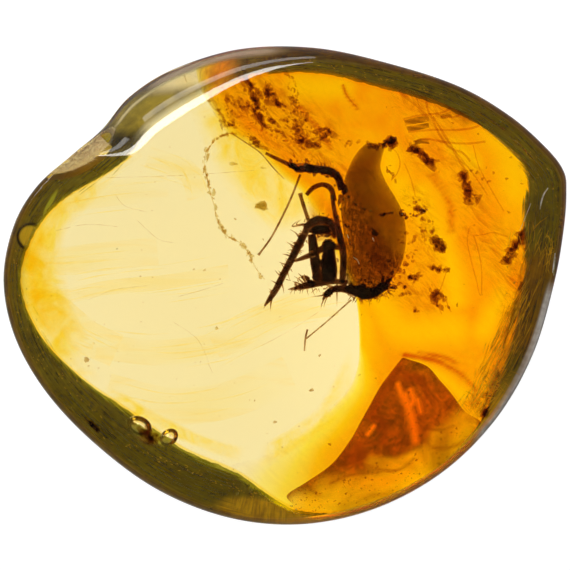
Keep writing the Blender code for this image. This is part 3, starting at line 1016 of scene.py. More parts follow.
def ellipsoid(centre, half_sizes, turn, swell=None, rings=4, columns=8):
    """A closed ellipsoid turned about the upright. Its radius is multiplied by swell, a function of the
    angle down from its top and the angle round it."""
    polar = np.linspace(0, math.pi, rings + 2)[1:-1, None]
    around = np.linspace(0, 2 * math.pi, columns, endpoint=False)[None, :]
    radius = swell(polar, around) if swell else np.ones((rings, columns))
    x = radius * np.cos(around) * np.sin(polar) * half_sizes[0]
    y = radius * np.sin(around) * np.sin(polar) * half_sizes[1]
    z = radius * np.cos(polar) * half_sizes[2]
    c, s = math.cos(turn), math.sin(turn)
    return closed_grid(np.stack([x * c - y * s, x * s + y * c, z], axis=-1) + np.asarray(centre))


def flake(centre, half_sizes, turn, rng, rings=4, columns=8):
    """An irregular crumb: an ellipsoid whose radius swells by three sine waves at random phases, with
    two, three and five crests round it, which wind about it as they go down."""
    phase = rng.uniform(0, 2 * math.pi, 4)

    def swell(polar, around):
        """One and the three waves."""
        two_crests = 0.24 * np.sin(2 * around + phase[0] + polar)
        three_crests = 0.2 * np.sin(3 * around + phase[1] - 2 * polar)
        return 1 + two_crests + three_crests + 0.14 * np.sin(5 * around + phase[2] + 3 * polar)

    return ellipsoid(centre, half_sizes, turn, swell, rings, columns)


def drawn_in(x, y, limit, margin=0.0):
    """The point moved straight inwards, if it must be, to within a share of the outline's reach there
    less a margin."""
    reach = next(station_at(np.array(x), np.array(y)))
    inward = min(1, (limit * reach - margin) / math.hypot(x, y))
    return x * inward, y * inward


def crumbs(strings, heights, rng, stretch=1.8, scale=1.0):
    """Crumbs strewn along smooth paths. Each string gives its path, how many crumbs it has, the normal
    spread they stray by in plan, and their size, which varies lognormally. A crumb is stretched roughly
    along its path."""
    skins = []
    for path, count, spread, size in strings:
        curve = smooth(path, 20)
        heading = np.gradient(curve, axis=0)
        for _ in range(count):
            i = rng.integers(len(curve))
            x, y = drawn_in(*(curve[i, :2] + rng.normal(0, spread, 2)), CRUMB_LIMIT)
            half = scale * size * min(rng.lognormal(0, 0.45), 2.5)
            turn = math.atan2(heading[i, 1], heading[i, 0]) + rng.normal(0, 0.6)
            half_sizes = (half * rng.uniform(1, stretch), half, half * rng.uniform(0.5, 1))
            skins.append(flake((x, y, rng.uniform(*heights)), half_sizes, turn, rng))
    return skins


CLINGING = (  # where the crumbs cling, how many, how far they stray and their size
    (((1.29, 4.11), (1.93, 4.54), (2.86, 4.61), (3.43, 3.96)), 30, 0.10, 0.06),
    (((1.50, 3.54), (2.36, 3.39), (3.21, 3.54)), 30, 0.16, 0.07),
    (((1.93, 3.11), (2.07, 1.68), (2.29, 0.39)), 40, 0.16, 0.07),
    (((2.71, 2.82), (3.21, 2.68)), 14, 0.14, 0.12),
    (((2.64, 1.96), (3.07, 1.11), (3.21, 0.25)), 44, 0.25, 0.09),
    (((0.79, -0.18), (1.36, 0.18), (2.36, 0.11), (3.79, -0.04)), 46, 0.14, 0.07),
    (((1.07, 0.68), (1.57, 0.39), (2.00, -0.11)), 20, 0.1, 0.08),
    (((2.79, -0.75), (3.21, -0.39), (3.93, -0.18)), 30, 0.12, 0.08),
    (((4.36, -0.25), (5.36, -0.46), (6.50, -0.39), (7.36, 0.11)), 110, 0.2, 0.09),
    (((5.21, 0.25), (6.36, 0.11), (7.50, 0.68)), 40, 0.3, 0.06),
    (((0.36, 8.46), (1.07, 8.25), (1.93, 8.18), (2.86, 8.04), (3.71, 7.54)), 110, 0.17, 0.085),
    (((3.64, 7.39), (4.07, 6.82), (4.21, 5.96)), 24, 0.14, 0.08),
    (((3.57, 5.75), (3.93, 3.25), (4.14, 0.96)), 30, 0.12, 0.06),
    (((8.07, 5.04), (8.71, 4.82), (9.50, 5.04), (9.93, 5.32)), 34, 0.07, 0.07),
    (((5.79, 9.82), (6.50, 9.75), (7.21, 9.89), (7.64, 10.25)), 26, 0.1, 0.08),
    (((4.14, 6.32), (5.14, 5.54), (6.79, 4.89), (7.64, 5.11)), 30, 0.07, 0.06),
    (((5.93, 3.82), (6.50, 3.54)), 8, 0.06, 0.08),
    (((1.29, 3.75), (0.64, 2.46), (0.00, 1.18), (-0.86, -0.61)), 60, 0.12, 0.055),
    (((4.36, 4.54), (5.36, 2.54), (6.21, 0.68)), 40, 0.9, 0.055),
)
FRINGE_WOBBLE = 38  # degrees
FRINGES = (  # where the hairs grow, how many, their length and their lean in degrees
    (((1.07, 8.39), (1.93, 8.39), (2.86, 8.25), (3.64, 7.82)), 26, 0.45, 80),
    (((4.29, -0.61), (5.36, -0.96), (6.50, -0.82), (7.36, -0.32)), 34, 0.5, -80),
    (((0.36, -0.18), (1.43, -0.18), (2.86, -0.32)), 18, 0.5, -110),
    (((1.29, 4.39), (2.14, 4.75), (3.07, 4.68)), 14, 0.3, 90),
    (((1.07, 3.46), (0.36, 2.11), (-0.50, 0.25)), 18, 0.35, 150),
    (((1.64, 3.39), (0.93, 2.11), (0.07, 0.39)), 12, 0.3, -30),
)
rng = np.random.default_rng(41)
clinging = crumbs(CLINGING, (6.6, 8.6), rng)
for path, count, length, lean in FRINGES:
    curve = smooth(path, 20)
    for i in rng.integers(0, len(curve), count):
        x, y = curve[i]
        turn = math.radians(lean + rng.normal(0, FRINGE_WOBBLE))
        reach = length * rng.uniform(0.5, 1.3)
        tip = (x + reach * math.cos(turn), y + reach * math.sin(turn), 0.01)
        bend = ((x + tip[0]) / 2 + rng.normal(0, 0.04), (y + tip[1]) / 2, 0.03)
        clinging.append(thread([(x, y, 0.045), bend, tip], 7.6, 7.4, steps=3, sides=5))
add_piece("insect_bristles", clinging, leg_paint)

# ------------------------------------------------------------------------------------------------
# The dust line. A loop of fine grit that marks the skin of an older drop of resin, round the clear
# eye beside the insect, with a few crumbs of bark inside it.

DUST_HEIGHT, DUST_RADIUS = 7.2, 0.035
DUST_LINE = (
    (-3.50, 10.61), (-4.07, 10.61), (-4.71, 10.32), (-5.29, 9.68), (-5.57, 9.18), (-5.64, 8.18),
    (-5.43, 7.39), (-5.29, 6.61), (-5.00, 5.68), (-4.79, 4.75), (-4.50, 4.11), (-4.07, 3.46),
    (-3.50, 3.18), (-2.93, 2.75), (-2.50, 2.11), (-2.14, 1.32), (-1.43, 0.39),
)
rng = np.random.default_rng(3)
grit_tones = (1, 1, 1), (0.8, 0.65, 0.4)
grit_soak = (0.72, 0.62, 0.15), 4600
grit_paint = mottled_paint("olive_grit", clear_plain, 2500, (0.3, 0.7), grit_tones, grit_soak)
grit = crumbs([(DUST_LINE, 150, 0.06, 0.06)], (7.0, 7.4), rng)
rows = [(x, y, DUST_RADIUS) for x, y in DUST_LINE]
grit.append(thread(rows, DUST_HEIGHT, DUST_HEIGHT, steps=8, sides=6))
for x, y, turn, long, wide in (  # the larger grains, each with its turn and half sizes
    (-5.00, 6.46, 1.6, 0.32, 0.13),
    (-4.43, 4.11, -0.9, 0.22, 0.14),
    (-3.64, 3.25, -0.4, 0.2, 0.14),
    (-5.43, 8.96, 1.4, 0.3, 0.12),
    (-5.36, 7.11, 1.5, 0.28, 0.12),
    (-5.64, 8.11, 1.5, 0.3, 0.12),
    (-4.86, 5.46, 1.5, 0.24, 0.13),
    (-2.36, 1.68, -1.0, 0.22, 0.1),
    (-3.64, 8.50, -0.2, 0.3, 0.13),
    (-1.50, 8.21, -0.2, 0.2, 0.07),
    (-1.64, 5.54, 0.3, 0.4, 0.38),
):
    grit.append(flake((x, y, DUST_HEIGHT), (long, wide, wide), turn, rng))
add_piece("dust_line", grit, grit_paint)

# ------------------------------------------------------------------------------------------------
# The bark. Crumbs of bark and rotten wood that drifted in strings through the orange resin along the
# far side: dark where thick, red where thin.

BARK_SCALE = 0.72  # of the sizes below
BARK_STRINGS = (
    (((-4.71, 12.54), (-4.50, 12.04), (-4.29, 11.68), (-3.93, 11.25), (-3.57, 11.04)), 26, 0.12, 0.08),
    (((-4.00, 13.11), (-3.64, 12.75), (-3.29, 12.39)), 12, 0.1, 0.11),
    (((-3.21, 12.68), (-2.93, 12.54), (-2.64, 12.46)), 14, 0.18, 0.14),
    (
        ((-2.71, 14.18), (-2.36, 13.68), (-2.00, 13.11), (-2.14, 12.39), (-1.79, 11.82), (-1.43, 11.11)),
        *(95, 0.2, 0.14),
    ),
    (((-1.93, 13.82), (-1.64, 13.04), (-1.64, 12.39)), 22, 0.3, 0.09),
    (((-1.43, 11.11), (-0.43, 10.75), (0.86, 10.18), (1.57, 9.89)), 34, 0.07, 0.09),
    (((0.93, 10.18), (1.57, 9.89), (2.29, 9.75)), 30, 0.13, 0.15),
    (((-1.21, 13.96), (-1.07, 13.32), (-0.71, 12.82), (-0.21, 12.54)), 46, 0.13, 0.15),
    (((0.14, 15.18), (0.43, 14.11), (0.64, 13.18), (0.93, 12.39)), 30, 0.16, 0.1),
    (((0.86, 12.39), (1.00, 11.68), (1.43, 10.82)), 40, 0.3, 0.11),
    (((0.00, 11.39), (0.71, 11.04), (1.29, 10.61)), 44, 0.42, 0.12),
    (((-1.00, 11.54), (-0.79, 11.46)), 10, 0.1, 0.12),
    (((2.00, 10.75), (2.57, 10.54), (3.43, 10.68)), 26, 0.22, 0.13),
    (((2.29, 10.89), (2.71, 10.96), (3.14, 10.89)), 16, 0.1, 0.1),
    (((-2.43, 10.11), (-2.00, 9.89), (-1.64, 9.68)), 16, 0.16, 0.12),
    (((-4.21, 11.96), (-3.79, 11.54), (-3.36, 11.11)), 22, 0.25, 0.1),
    (((-2.86, 11.25), (-1.64, 10.54), (-0.50, 9.68), (1.07, 8.96)), 26, 0.5, 0.06),
    (((-5.36, 13.25), (-4.50, 12.68), (-3.21, 11.96)), 14, 0.4, 0.06),
    (((4.14, 10.04), (4.64, 9.89), (5.07, 10.11)), 8, 0.14, 0.09),
)
rng = np.random.default_rng(11)
bark_tones = (1, 0.97, 0.9), (0.6, 0.42, 0.22)
bark_soak = (0.6, 0.46, 0.12), 3200
bark_paint = mottled_paint("bark_crumbs", clear_plain, 2200, (0.3, 0.7), bark_tones, bark_soak, detail=4)
bark = crumbs(BARK_STRINGS, (6.0, 8.0), rng, stretch=3.0, scale=BARK_SCALE)
add_piece("bark_strings", bark, bark_paint)

# ------------------------------------------------------------------------------------------------
# The plant scraps. Leaf ribs, thin veins and torn strips of leaf, which lie flat in the orange resin
# beyond the insect's head, and crumbs that drift down the right-hand side.

VEINS = (
    ((8.29, 11.61), (9.07, 11.82), (9.93, 11.96), (11.07, 12.11), (11.71, 12.54)),
    ((8.64, 10.75), (10.43, 10.89), (12.21, 10.89), (13.43, 11.11), (14.07, 11.61), (14.36, 12.04)),
    ((9.00, 10.04), (9.86, 10.25), (11.43, 10.00), (12.86, 9.93), (14.07, 10.07)),
    (
        *((9.93, 13.18), (10.00, 12.39), (10.43, 11.46), (10.93, 10.39)),
        *((11.64, 9.61), (12.50, 9.25), (13.00, 8.68)),
    ),
    ((10.36, 11.82), (11.07, 10.75), (11.64, 9.82), (12.21, 8.75), (12.71, 7.96)),
    ((10.93, 11.82), (12.00, 11.82), (12.50, 12.32), (12.71, 12.82)),
    ((11.93, 9.39), (12.64, 8.54), (13.50, 7.39), (14.21, 6.32)),
    ((13.21, 9.82), (13.64, 8.25), (14.57, 6.54), (15.36, 5.18)),
    ((9.36, 14.11), (9.21, 13.32), (9.43, 12.54)),
    ((4.07, 14.11), (4.29, 13.39), (4.71, 12.82), (5.07, 12.46)),
    ((12.93, 4.04), (12.79, 3.04), (13.07, 1.68), (13.43, 0.32), (13.64, -0.61), (13.86, -0.68)),
    ((13.21, 3.54), (13.57, 2.39), (13.79, 1.11), (13.79, -0.61)),
    ((13.29, 3.46), (13.93, 3.54), (14.64, 3.68), (15.64, 3.39)),
    ((11.29, 0.89), (11.07, 0.18), (10.79, -0.54)),
    ((11.07, -0.68), (11.36, -1.25), (11.64, -1.89)),
    ((10.57, -1.18), (10.79, -1.61), (11.00, -2.04)),
    ((7.36, 9.68), (7.86, 9.25), (8.07, 8.54), (7.86, 7.82), (7.43, 7.32)),
    ((8.36, 8.54), (8.71, 7.75), (9.00, 6.82), (9.14, 6.18)),
)
RIBS = 6  # the first ones; the rest are thin veins
RIB_RADIUS, VEIN_RADIUS = 0.085, 0.05
LOWEST_VEIN, VEIN_STEP, VEIN_LAYERS = 4.0, 0.25, 5
rib_paint, place = new_paint("leaf_ribs", clear_plain, soak=((0.72, 0.5, 0.1), 3600))
vary(rib_paint, place, **{"Base Color": place.noise(1800).mix((1, 1, 1, 1), (0.8, 0.6, 0.4, 1))})
veins = []
for i, path in enumerate(VEINS):
    height = LOWEST_VEIN + VEIN_STEP * (i % VEIN_LAYERS)
    radius = RIB_RADIUS if i < RIBS else VEIN_RADIUS
    veins.append(thread([(x, y, radius) for x, y in path], height, height, steps=6, sides=6))
add_piece("leaf_veins", veins, rib_paint)

STRIP_TOP, STRIP_FOOT = 4.7, 4.3
STRIPS = (  # each one's left and right edge
    (((8.36, 11.54), (9.14, 11.75), (10.07, 11.89)), ((8.43, 11.18), (9.21, 11.32), (10.14, 11.46))),
    (((8.50, 11.11), (9.29, 11.25), (10.07, 11.39)), ((8.64, 10.75), (9.43, 10.89), (10.14, 11.04))),
    (((10.86, 11.96), (11.21, 12.04), (11.64, 12.18)), ((10.93, 11.61), (11.29, 11.68), (11.71, 11.82))),
    (((9.07, 10.11), (9.50, 10.25), (10.07, 10.25)), ((9.14, 9.82), (9.57, 9.93), (10.14, 9.89))),
)
strip_paint, place = new_paint("leaf_strips", clear_plain, soak=((0.80, 0.72, 0.2), 3400))
stripes = place.mapped(Rotation=(0, 0, 0.15)).mapped(Scale=(300, 3200, 300))
stripes = stripes.noise(1.0, detail=2).span(0.35, 0.65)
vary(strip_paint, place, **{"Base Color": stripes.mix((0.95, 0.9, 0.7, 1), (0.45, 0.38, 0.12, 1))})
strips = [pod(*edges, STRIP_TOP, STRIP_FOOT, oval, steps=8, columns=16)[0] for edges in STRIPS]
add_piece("leaf_strips", strips, strip_paint)

SCRAP_HEIGHTS, LONE_SCRAP_HEIGHT = (4.6, 6.4), 5.0
SCRAP_STRINGS = (
    (((8.86, 9.68), (9.29, 9.32), (9.86, 8.89), (10.29, 8.46)), 46, 0.14, 0.14),
    (((12.43, 7.89), (12.57, 7.32), (12.79, 6.68), (12.93, 5.89)), 46, 0.14, 0.13),
    (((12.64, 6.61), (13.21, 6.39), (13.57, 6.11)), 16, 0.1, 0.11),
    (((8.07, 5.18), (8.93, 5.25), (9.86, 5.39)), 22, 0.07, 0.07),
    (((8.86, 5.68), (9.14, 5.96), (9.43, 5.54)), 14, 0.14, 0.06),
    (((9.36, 4.54), (9.64, 3.82), (9.93, 3.25)), 20, 0.16, 0.08),
    (((10.21, 4.54), (10.36, 3.75)), 10, 0.1, 0.08),
    (((10.43, 2.96), (10.79, 2.68), (11.14, 2.54)), 22, 0.16, 0.16),
    (((8.64, 0.54), (9.14, 0.46), (9.64, 0.68)), 26, 0.12, 0.12),
    (((10.14, 1.25), (10.79, 1.11), (11.43, 0.89)), 24, 0.09, 0.11),
    (((10.29, -0.32), (10.64, -0.82), (10.43, -1.25)), 26, 0.16, 0.1),
    (((11.14, -0.75), (11.36, -1.32), (11.64, -1.82)), 14, 0.06, 0.07),
    (((10.57, -1.18), (10.86, -1.68)), 8, 0.06, 0.08),
    (((8.14, -0.68), (8.50, -0.61), (8.79, -0.75)), 8, 0.08, 0.08),
    (((9.07, -1.89), (9.21, -1.61)), 6, 0.06, 0.09),
    (((8.50, 3.54), (8.79, 2.54), (8.64, 1.68)), 30, 0.3, 0.08),
    (((7.86, 1.25), (8.21, 0.39), (7.93, -0.32)), 20, 0.3, 0.08),
    (((15.64, 1.68), (16.00, 2.61), (16.50, 3.32), (16.93, 3.96)), 60, 0.14, 0.13),
    (((16.93, 4.11), (17.21, 3.54), (17.07, 2.82)), 26, 0.18, 0.11),
    (((7.14, 8.25), (7.50, 7.68), (7.57, 7.11)), 10, 0.12, 0.07),
    (((7.36, 10.32), (7.57, 10.18), (7.64, 9.96)), 12, 0.08, 0.12),
    (((5.93, 9.82), (6.50, 9.68), (7.21, 9.82), (7.50, 10.11)), 30, 0.12, 0.11),
)
rng = np.random.default_rng(17)
scraps = crumbs(SCRAP_STRINGS, SCRAP_HEIGHTS, rng)
for x, y, long, wide in (  # the lone scraps, with their half sizes
    (13.07, 8.04, 0.14, 0.09),
    (13.50, 7.89, 0.15, 0.11),
    (13.86, 7.46, 0.14, 0.1),
    (14.29, 7.25, 0.16, 0.11),
    (14.64, 7.89, 0.12, 0.11),
    (15.57, 7.46, 0.11, 0.11),
    (16.64, 7.11, 0.13, 0.07),
    (15.86, 8.96, 0.09, 0.09),
    (14.14, 8.25, 0.07, 0.07),
    (13.43, 7.39, 0.07, 0.06),
    (13.57, 10.61, 0.09, 0.07),
    (11.79, 11.39, 0.1, 0.09),
    (11.93, 5.25, 0.17, 0.08),
    (15.71, 5.11, 0.16, 0.07),
    (13.29, 4.18, 0.08, 0.08),
    (10.79, 7.96, 0.07, 0.07),
    (13.86, 3.04, 0.08, 0.07),
    (12.07, -1.39, 0.05, 0.2),
):
    scraps.append(flake((x, y, LONE_SCRAP_HEIGHT), (long, wide, wide), rng.uniform(-0.6, 0.6), rng))
add_piece("plant_scraps", scraps, bark_paint)

# ------------------------------------------------------------------------------------------------
# The air bubbles. Round and egg-shaped pockets of gas from the fresh resin, at the near left, with a
# knot of dirt between them, and a dust of tiny ones just inside the near edge and both ends. Other
# knots and grains of dirt lie by themselves.

BUBBLES = (  # centre, long and short half sizes, and turn in degrees
    (-10.21, -9.89, 3.6, 0.92, 0.7, -25),
    (-8.14, -10.68, 3.4, 0.72, 0.58, 40),
    (-9.21, -11.89, 3.2, 0.16, 0.14, 0),
    (-11.79, 2.54, 8.0, 0.05, 0.05, 0),
)
air_plain = {"Roughness": 0.0, "IOR": 1 / AMBER_IOR, "Transmission Weight": 1.0}
air_tones = (1, 1, 1), (0.92, 0.88, 0.75)
air_paint = mottled_paint("air", air_plain, 1500, (0.4, 0.8), air_tones)
bubbles = [
    ellipsoid((x, y, z), (long, short, short), math.radians(turn), rings=20, columns=32)
    for x, y, z, long, short, turn in BUBBLES
]
add_piece("air_bubbles", bubbles, air_paint)

DIRT_KNOTS = (  # where they lie, how many crumbs, how far they stray, their size and their heights
    (((-9.64, -10.39), (-9.36, -10.61), (-9.07, -10.89)), 34, 0.16, 0.15, (11.4, 11.55)),
    (((-14.36, -9.89), (-14.07, -10.18), (-13.71, -10.46)), 30, 0.14, 0.09, (11.15, 11.3)),
    (((14.29, -8.96), (14.29, -9.32)), 24, 0.12, 0.12, (11.0, 11.2)),
)
rng = np.random.default_rng(23)
dirt = []
for *knot, heights in DIRT_KNOTS:
    dirt += crumbs([knot], heights, rng)
for x, y, z, long, wide, tall, turn in (  # the lone grains: centre, half sizes and turn
    (-13.93, -5.25, 5.0, 0.16, 0.26, 0.15, 0.2),
    (-0.71, -9.61, 5.0, 0.16, 0.1, 0.1, 0.6),
    (1.86, -7.36, 5.0, 0.16, 0.13, 0.12, 0.2),
    (2.43, -4.94, 5.0, 0.1, 0.09, 0.09, 0.2),
    (-5.64, 1.04, 5.0, 0.11, 0.08, 0.08, 0.3),
    (3.14, -11.16, 4.0, 0.12, 0.1, 0.09, 0.3),
    (6.36, -6.54, 4.0, 0.08, 0.08, 0.08, 0.3),
    (5.21, -6.32, 4.0, 0.09, 0.07, 0.08, 0.3),
):
    dirt.append(flake((x, y, z), (long, wide, tall), turn, rng))
add_piece("dirt_knots", dirt, bark_paint)

GAS_SIZE = 0.03
GAS_LIMIT = 0.95  # of the outline's reach
GAS_STRINGS = (
    (((-18.50, -2.46), (-16.07, -7.32), (-12.50, -11.04), (-8.21, -13.46), (-3.21, -15.18)), 90, 0.5),
    (((-5.00, -14.75), (-2.50, -15.32), (1.07, -15.89)), 60, 0.35),
    (((15.36, 2.54), (16.79, -1.04), (15.71, -4.25), (14.21, -7.82)), 30, 0.6),
    (((-19.36, 3.25), (-18.79, -1.75)), 14, 0.3),
)
rng = np.random.default_rng(37)
gas = []
for path, count, spread in GAS_STRINGS:
    curve = smooth(path, 20)
    for _ in range(count):
        x, y = drawn_in(*(curve[rng.integers(len(curve))] + rng.normal(0, spread, 2)), GAS_LIMIT)
        size = GAS_SIZE * min(rng.lognormal(0, 0.4), 2.5)
        height = rng.uniform(7.0, 9.0)
        turn = math.radians(rng.uniform(0, 180))
        gas.append(ellipsoid((x, y, height), (size * 1.5, size, size), turn, rings=5))
add_piece("gas_dust", gas, air_paint)

# ------------------------------------------------------------------------------------------------
# The specks. Fine dust that settled on the resin while it was sticky and now lies right through the
# stone, each grain a plain crumb.

SPECKS = 260
SPECK_SIZE = 0.028
SPECK_SPREAD = 0.72  # of the outline's area holds specks
rng = np.random.default_rng(29)
turn = rng.uniform(0, 2 * math.pi, SPECKS)
share = np.sqrt(rng.uniform(0, SPECK_SPREAD, SPECKS))
reach = share * next(station_at(np.cos(turn), np.sin(turn)))
centres = np.stack([reach * np.cos(turn), reach * np.sin(turn)], axis=-1)
depths = rng.uniform(3.0, 9.5, SPECKS)
sizes = SPECK_SIZE * rng.lognormal(0, 0.4, SPECKS)
specks = [
    flake((x, y, z), (size * 1.4, size, size), angle, rng, rings=3, columns=6)
    for (x, y), z, size, angle in zip(centres, depths, sizes, turn, strict=True)
]
add_piece("specks", specks, grit_paint)

# ------------------------------------------------------------------------------------------------
# The flow streaks. Faint yellow threads and veils where the clear resin ran in layers, drawn out
# nearly level across the pale part, and denser just inside the left end. Finer flow lines and
# hairline cracks lie among them.

LOWEST_STREAK, STREAK_STEP, STREAK_LAYERS = 3.5, 0.5, 4
STREAKS = (  # each one's middle line, and its half width and half height
    (((-18.21, 5.04), (-16.07, 5.75), (-12.50, 6.39), (-8.21, 6.82)), 0.9, 0.5),
    (((-18.57, 2.54), (-16.43, 1.68), (-13.21, 1.96), (-8.93, 2.39)), 1.0, 0.6),
    (((-18.36, -1.04), (-16.07, -1.89), (-13.93, -3.61), (-11.79, -4.61)), 1.2, 0.7),
    (((-15.00, -3.39), (-14.21, -3.75), (-13.36, -4.11)), 0.5, 0.6),
    (((-16.07, -1.04), (-12.50, -0.18), (-8.21, 0.25), (-3.93, 0.96)), 0.5, 0.5),
    (((-13.21, -4.25), (-8.93, -4.75), (-4.64, -4.18), (-1.07, -3.18)), 0.9, 0.5),
    (((-12.50, -7.46), (-8.21, -8.46), (-3.93, -8.04), (0.36, -6.18)), 1.3, 0.6),
    (((-9.64, 8.96), (-6.79, 7.89), (-6.07, 6.11)), 0.8, 0.5),
    (((-5.00, -4.25), (-1.79, -2.61), (1.07, -1.46), (3.57, -1.04)), 1.1, 0.6),
    (((-17.14, 6.82), (-13.93, 7.68), (-10.36, 9.68)), 0.8, 0.5),
)


def drawn_out(from_left, from_right, along):
    """An ellipse across, thinning evenly towards both ends."""
    width = np.maximum(from_left + from_right, 1e-6)
    return 2 * np.sqrt(np.clip(from_left * from_right, 0, None)) / width * (1 - np.abs(2 * along - 1))


streak_paint, place = new_paint("resin_streaks", clear_plain, soak=((0.99, 0.86, 0.1), 240))
wisps = place.mapped(Scale=(120, 700, 500)).noise(1.0, detail=4, distortion=1.0).span(0.35, 0.7)
vary(streak_paint, place, **{"Base Color": wisps.mix((1, 1, 1, 1), (1, 0.96, 0.8, 1))})
streaks = []
for i, (path, half_width, half_height) in enumerate(STREAKS):
    curve = smooth(path, 8)
    heading = np.gradient(curve, axis=0)
    side = np.stack([-heading[:, 1], heading[:, 0]], axis=-1)
    side *= half_width / np.linalg.norm(side, axis=1, keepdims=True)
    height = LOWEST_STREAK + STREAK_STEP * (i % STREAK_LAYERS)
    top, foot = height + half_height, height - half_height
    streaks.append(pod(curve + side, curve - side, top, foot, drawn_out, steps=1, columns=20)[0])
add_piece("resin_streaks", streaks, streak_paint)

FLOW_LINES = 90
rng = np.random.default_rng(71)
line_tones = (1, 0.99, 0.92), (1, 0.96, 0.72)
line_paint = mottled_paint("flow_lines", clear_plain, 900, (0.3, 0.7), line_tones)
flow_lines = []
for _ in range(FLOW_LINES):
    path = smooth(STREAKS[rng.integers(len(STREAKS))][0], 8)
    start = rng.integers(len(path) - 8)
    piece = path[start : start + rng.integers(8, 14) : 2] + rng.normal(0, 0.7, 2)
    width = rng.uniform(0.02, 0.07)
    widths = width * np.sin(np.linspace(0.1, math.pi - 0.1, len(piece)))
    height = rng.uniform(3.5, 7.0)
    flow_lines.append(thread(np.column_stack([piece, widths]), height, height, steps=3, sides=6))
add_piece("flow_lines", flow_lines, line_paint)

HAIRLINE_RADIUS, HAIRLINE_HEIGHT = 0.016, 5.0
HAIRLINES = (
    ((-12.57, 7.54), (-9.64, 7.61), (-6.07, 7.75), (-2.21, 8.04)),
    ((-7.50, -0.82), (-5.93, -0.39), (-4.36, 0.11)),
    ((-11.93, 6.39), (-11.21, 5.54), (-9.64, 5.11)),
    ((-10.36, 4.54), (-8.93, 3.25), (-7.79, 2.96)),
    ((-7.79, -2.61), (-6.07, -3.89), (-5.07, -6.18)),
    ((-1.64, -4.25), (0.36, -3.18), (2.36, -1.89)),
    ((-16.07, 3.82), (-13.93, 4.25), (-11.79, 4.11)),
    ((-13.79, -1.04), (-11.93, -0.32), (-9.64, -0.04)),
)
hairlines = []
for path in HAIRLINES:
    rows = [(x, y, HAIRLINE_RADIUS) for x, y in path]
    hairlines.append(thread(rows, HAIRLINE_HEIGHT, HAIRLINE_HEIGHT, steps=8, sides=5))
add_piece("hairlines", hairlines, grit_paint)

# ------------------------------------------------------------------------------------------------
# The hazes. Faint clouds of yellow in the clear resin: inside the left end, in the eye beside the
# insect, along the edge of the orange flow and inside the near edge at the left. Each lies between
# a left and a right edge in plan, a top and a foot.

LEFT_END = (
    (-11.43, 9.68), (-13.21, 8.25), (-15.21, 6.82), (-17.14, 5.75), (-18.21, 4.32), (-19.29, 2.54),
    (-19.36, 0.04), (-18.71, -2.32), (-17.36, -4.25), (-15.93, -5.89), (-14.29, -7.46),
)
EYE_RIGHT = ((-2.50, 12.39), (-0.64, 10.54), (1.21, 8.68), (3.07, 6.68), (3.79, 4.54))
HAZES = (
    (
        LEFT_END,
        (
            (-10.36, 8.96), (-11.93, 7.39), (-13.57, 5.61), (-14.86, 4.18), (-15.79, 2.54),
            (-16.29, 1.11), (-16.29, -0.32), (-15.79, -1.89), (-14.79, -3.54), (-13.64, -5.18),
            (-12.71, -6.75),
        ),
        *(6.6, 6.0),
    ),
    (
        LEFT_END,
        (
            (-10.93, 9.18), (-12.50, 7.68), (-14.21, 5.96), (-15.64, 4.68), (-16.64, 3.25),
            (-17.21, 1.68), (-17.21, -0.32), (-16.64, -2.11), (-15.50, -3.89), (-14.36, -5.46),
            (-13.36, -7.04),
        ),
        *(7.6, 7.0),
    ),
    (
        ((-7.21, 13.25), (-6.21, 10.82), (-4.93, 7.89), (-3.07, 5.25), (-1.07, 3.25)),
        EYE_RIGHT,
        *(5.8, 5.2),
    ),
    (
        ((-6.64, 13.25), (-5.64, 10.82), (-4.07, 8.39), (-2.21, 5.82), (-0.21, 3.54)),
        EYE_RIGHT,
        *(6.6, 6.0),
    ),
    (
        ((-2.14, -13.18), (0.36, -11.89), (3.21, -9.96), (5.21, -7.46)),
        ((-1.64, -11.04), (0.36, -9.96), (2.50, -8.18), (4.64, -3.89)),
        *(4.4, 3.6),
    ),
    (
        ((-18.79, 5.39), (-18.93, 1.82), (-18.21, -1.75), (-16.64, -4.25)),
        ((-15.00, 6.11), (-15.36, 1.82), (-14.64, -1.75), (-13.36, -4.25)),
        *(4.4, 3.6),
    ),
    (
        ((-18.79, 4.54), (-18.36, 1.25), (-17.64, -1.75), (-16.07, -4.61)),
        ((-16.79, 4.54), (-16.36, 1.25), (-15.21, -1.04), (-13.50, -3.89)),
        *(5.6, 5.0),
    ),
    (
        ((-13.21, -7.82), (-10.36, -9.61), (-6.07, -11.46), (-3.21, -12.61)),
        ((-12.36, -6.75), (-9.64, -8.54), (-5.71, -10.46), (-2.50, -11.39)),
        *(3.6, 3.0),
    ),
)
haze_paint, place = new_paint("yellow_haze", clear_plain)
clouds = place.noise(330, detail=6, roughness=0.6, distortion=2.0).span(0.42, 0.68)
depth = place.attribute("depth")
cloudy = (clouds * 0.65 + 0.35) * depth
vary(haze_paint, place, **{"Base Color": cloudy.mix((1, 1, 1, 1), (1, 0.85, 0.12, 1))})


def soft_sides(from_left, from_right, along):
    """Rises over a quarter of the width from both edges and over a fifth of the length from both ends."""
    share = from_left / np.maximum(from_left + from_right, 1e-6)
    return np.clip(np.minimum(share, 1 - share) * 4, 0, 1) * np.clip(np.minimum(along, 1 - along) * 5, 0, 1)


for i, (left, right, haze_top, haze_foot) in enumerate(HAZES):
    skin, swell = pod(left, right, haze_top, haze_foot, soft_sides, steps=14, columns=48)
    mark(add_piece(f"yellow_haze_{i + 1}", [skin], haze_paint), "depth", swell)

# ------------------------------------------------------------------------------------------------
# The grinding marks. Deep scratches that the wheel left under the polish all round the edge, filled
# with dark paste, and most of them at the right-hand side, where broader smears of the paste lie too.

HELD_INSIDE = 0.35  # of a stroke's half length is kept within its limit of the outline's reach
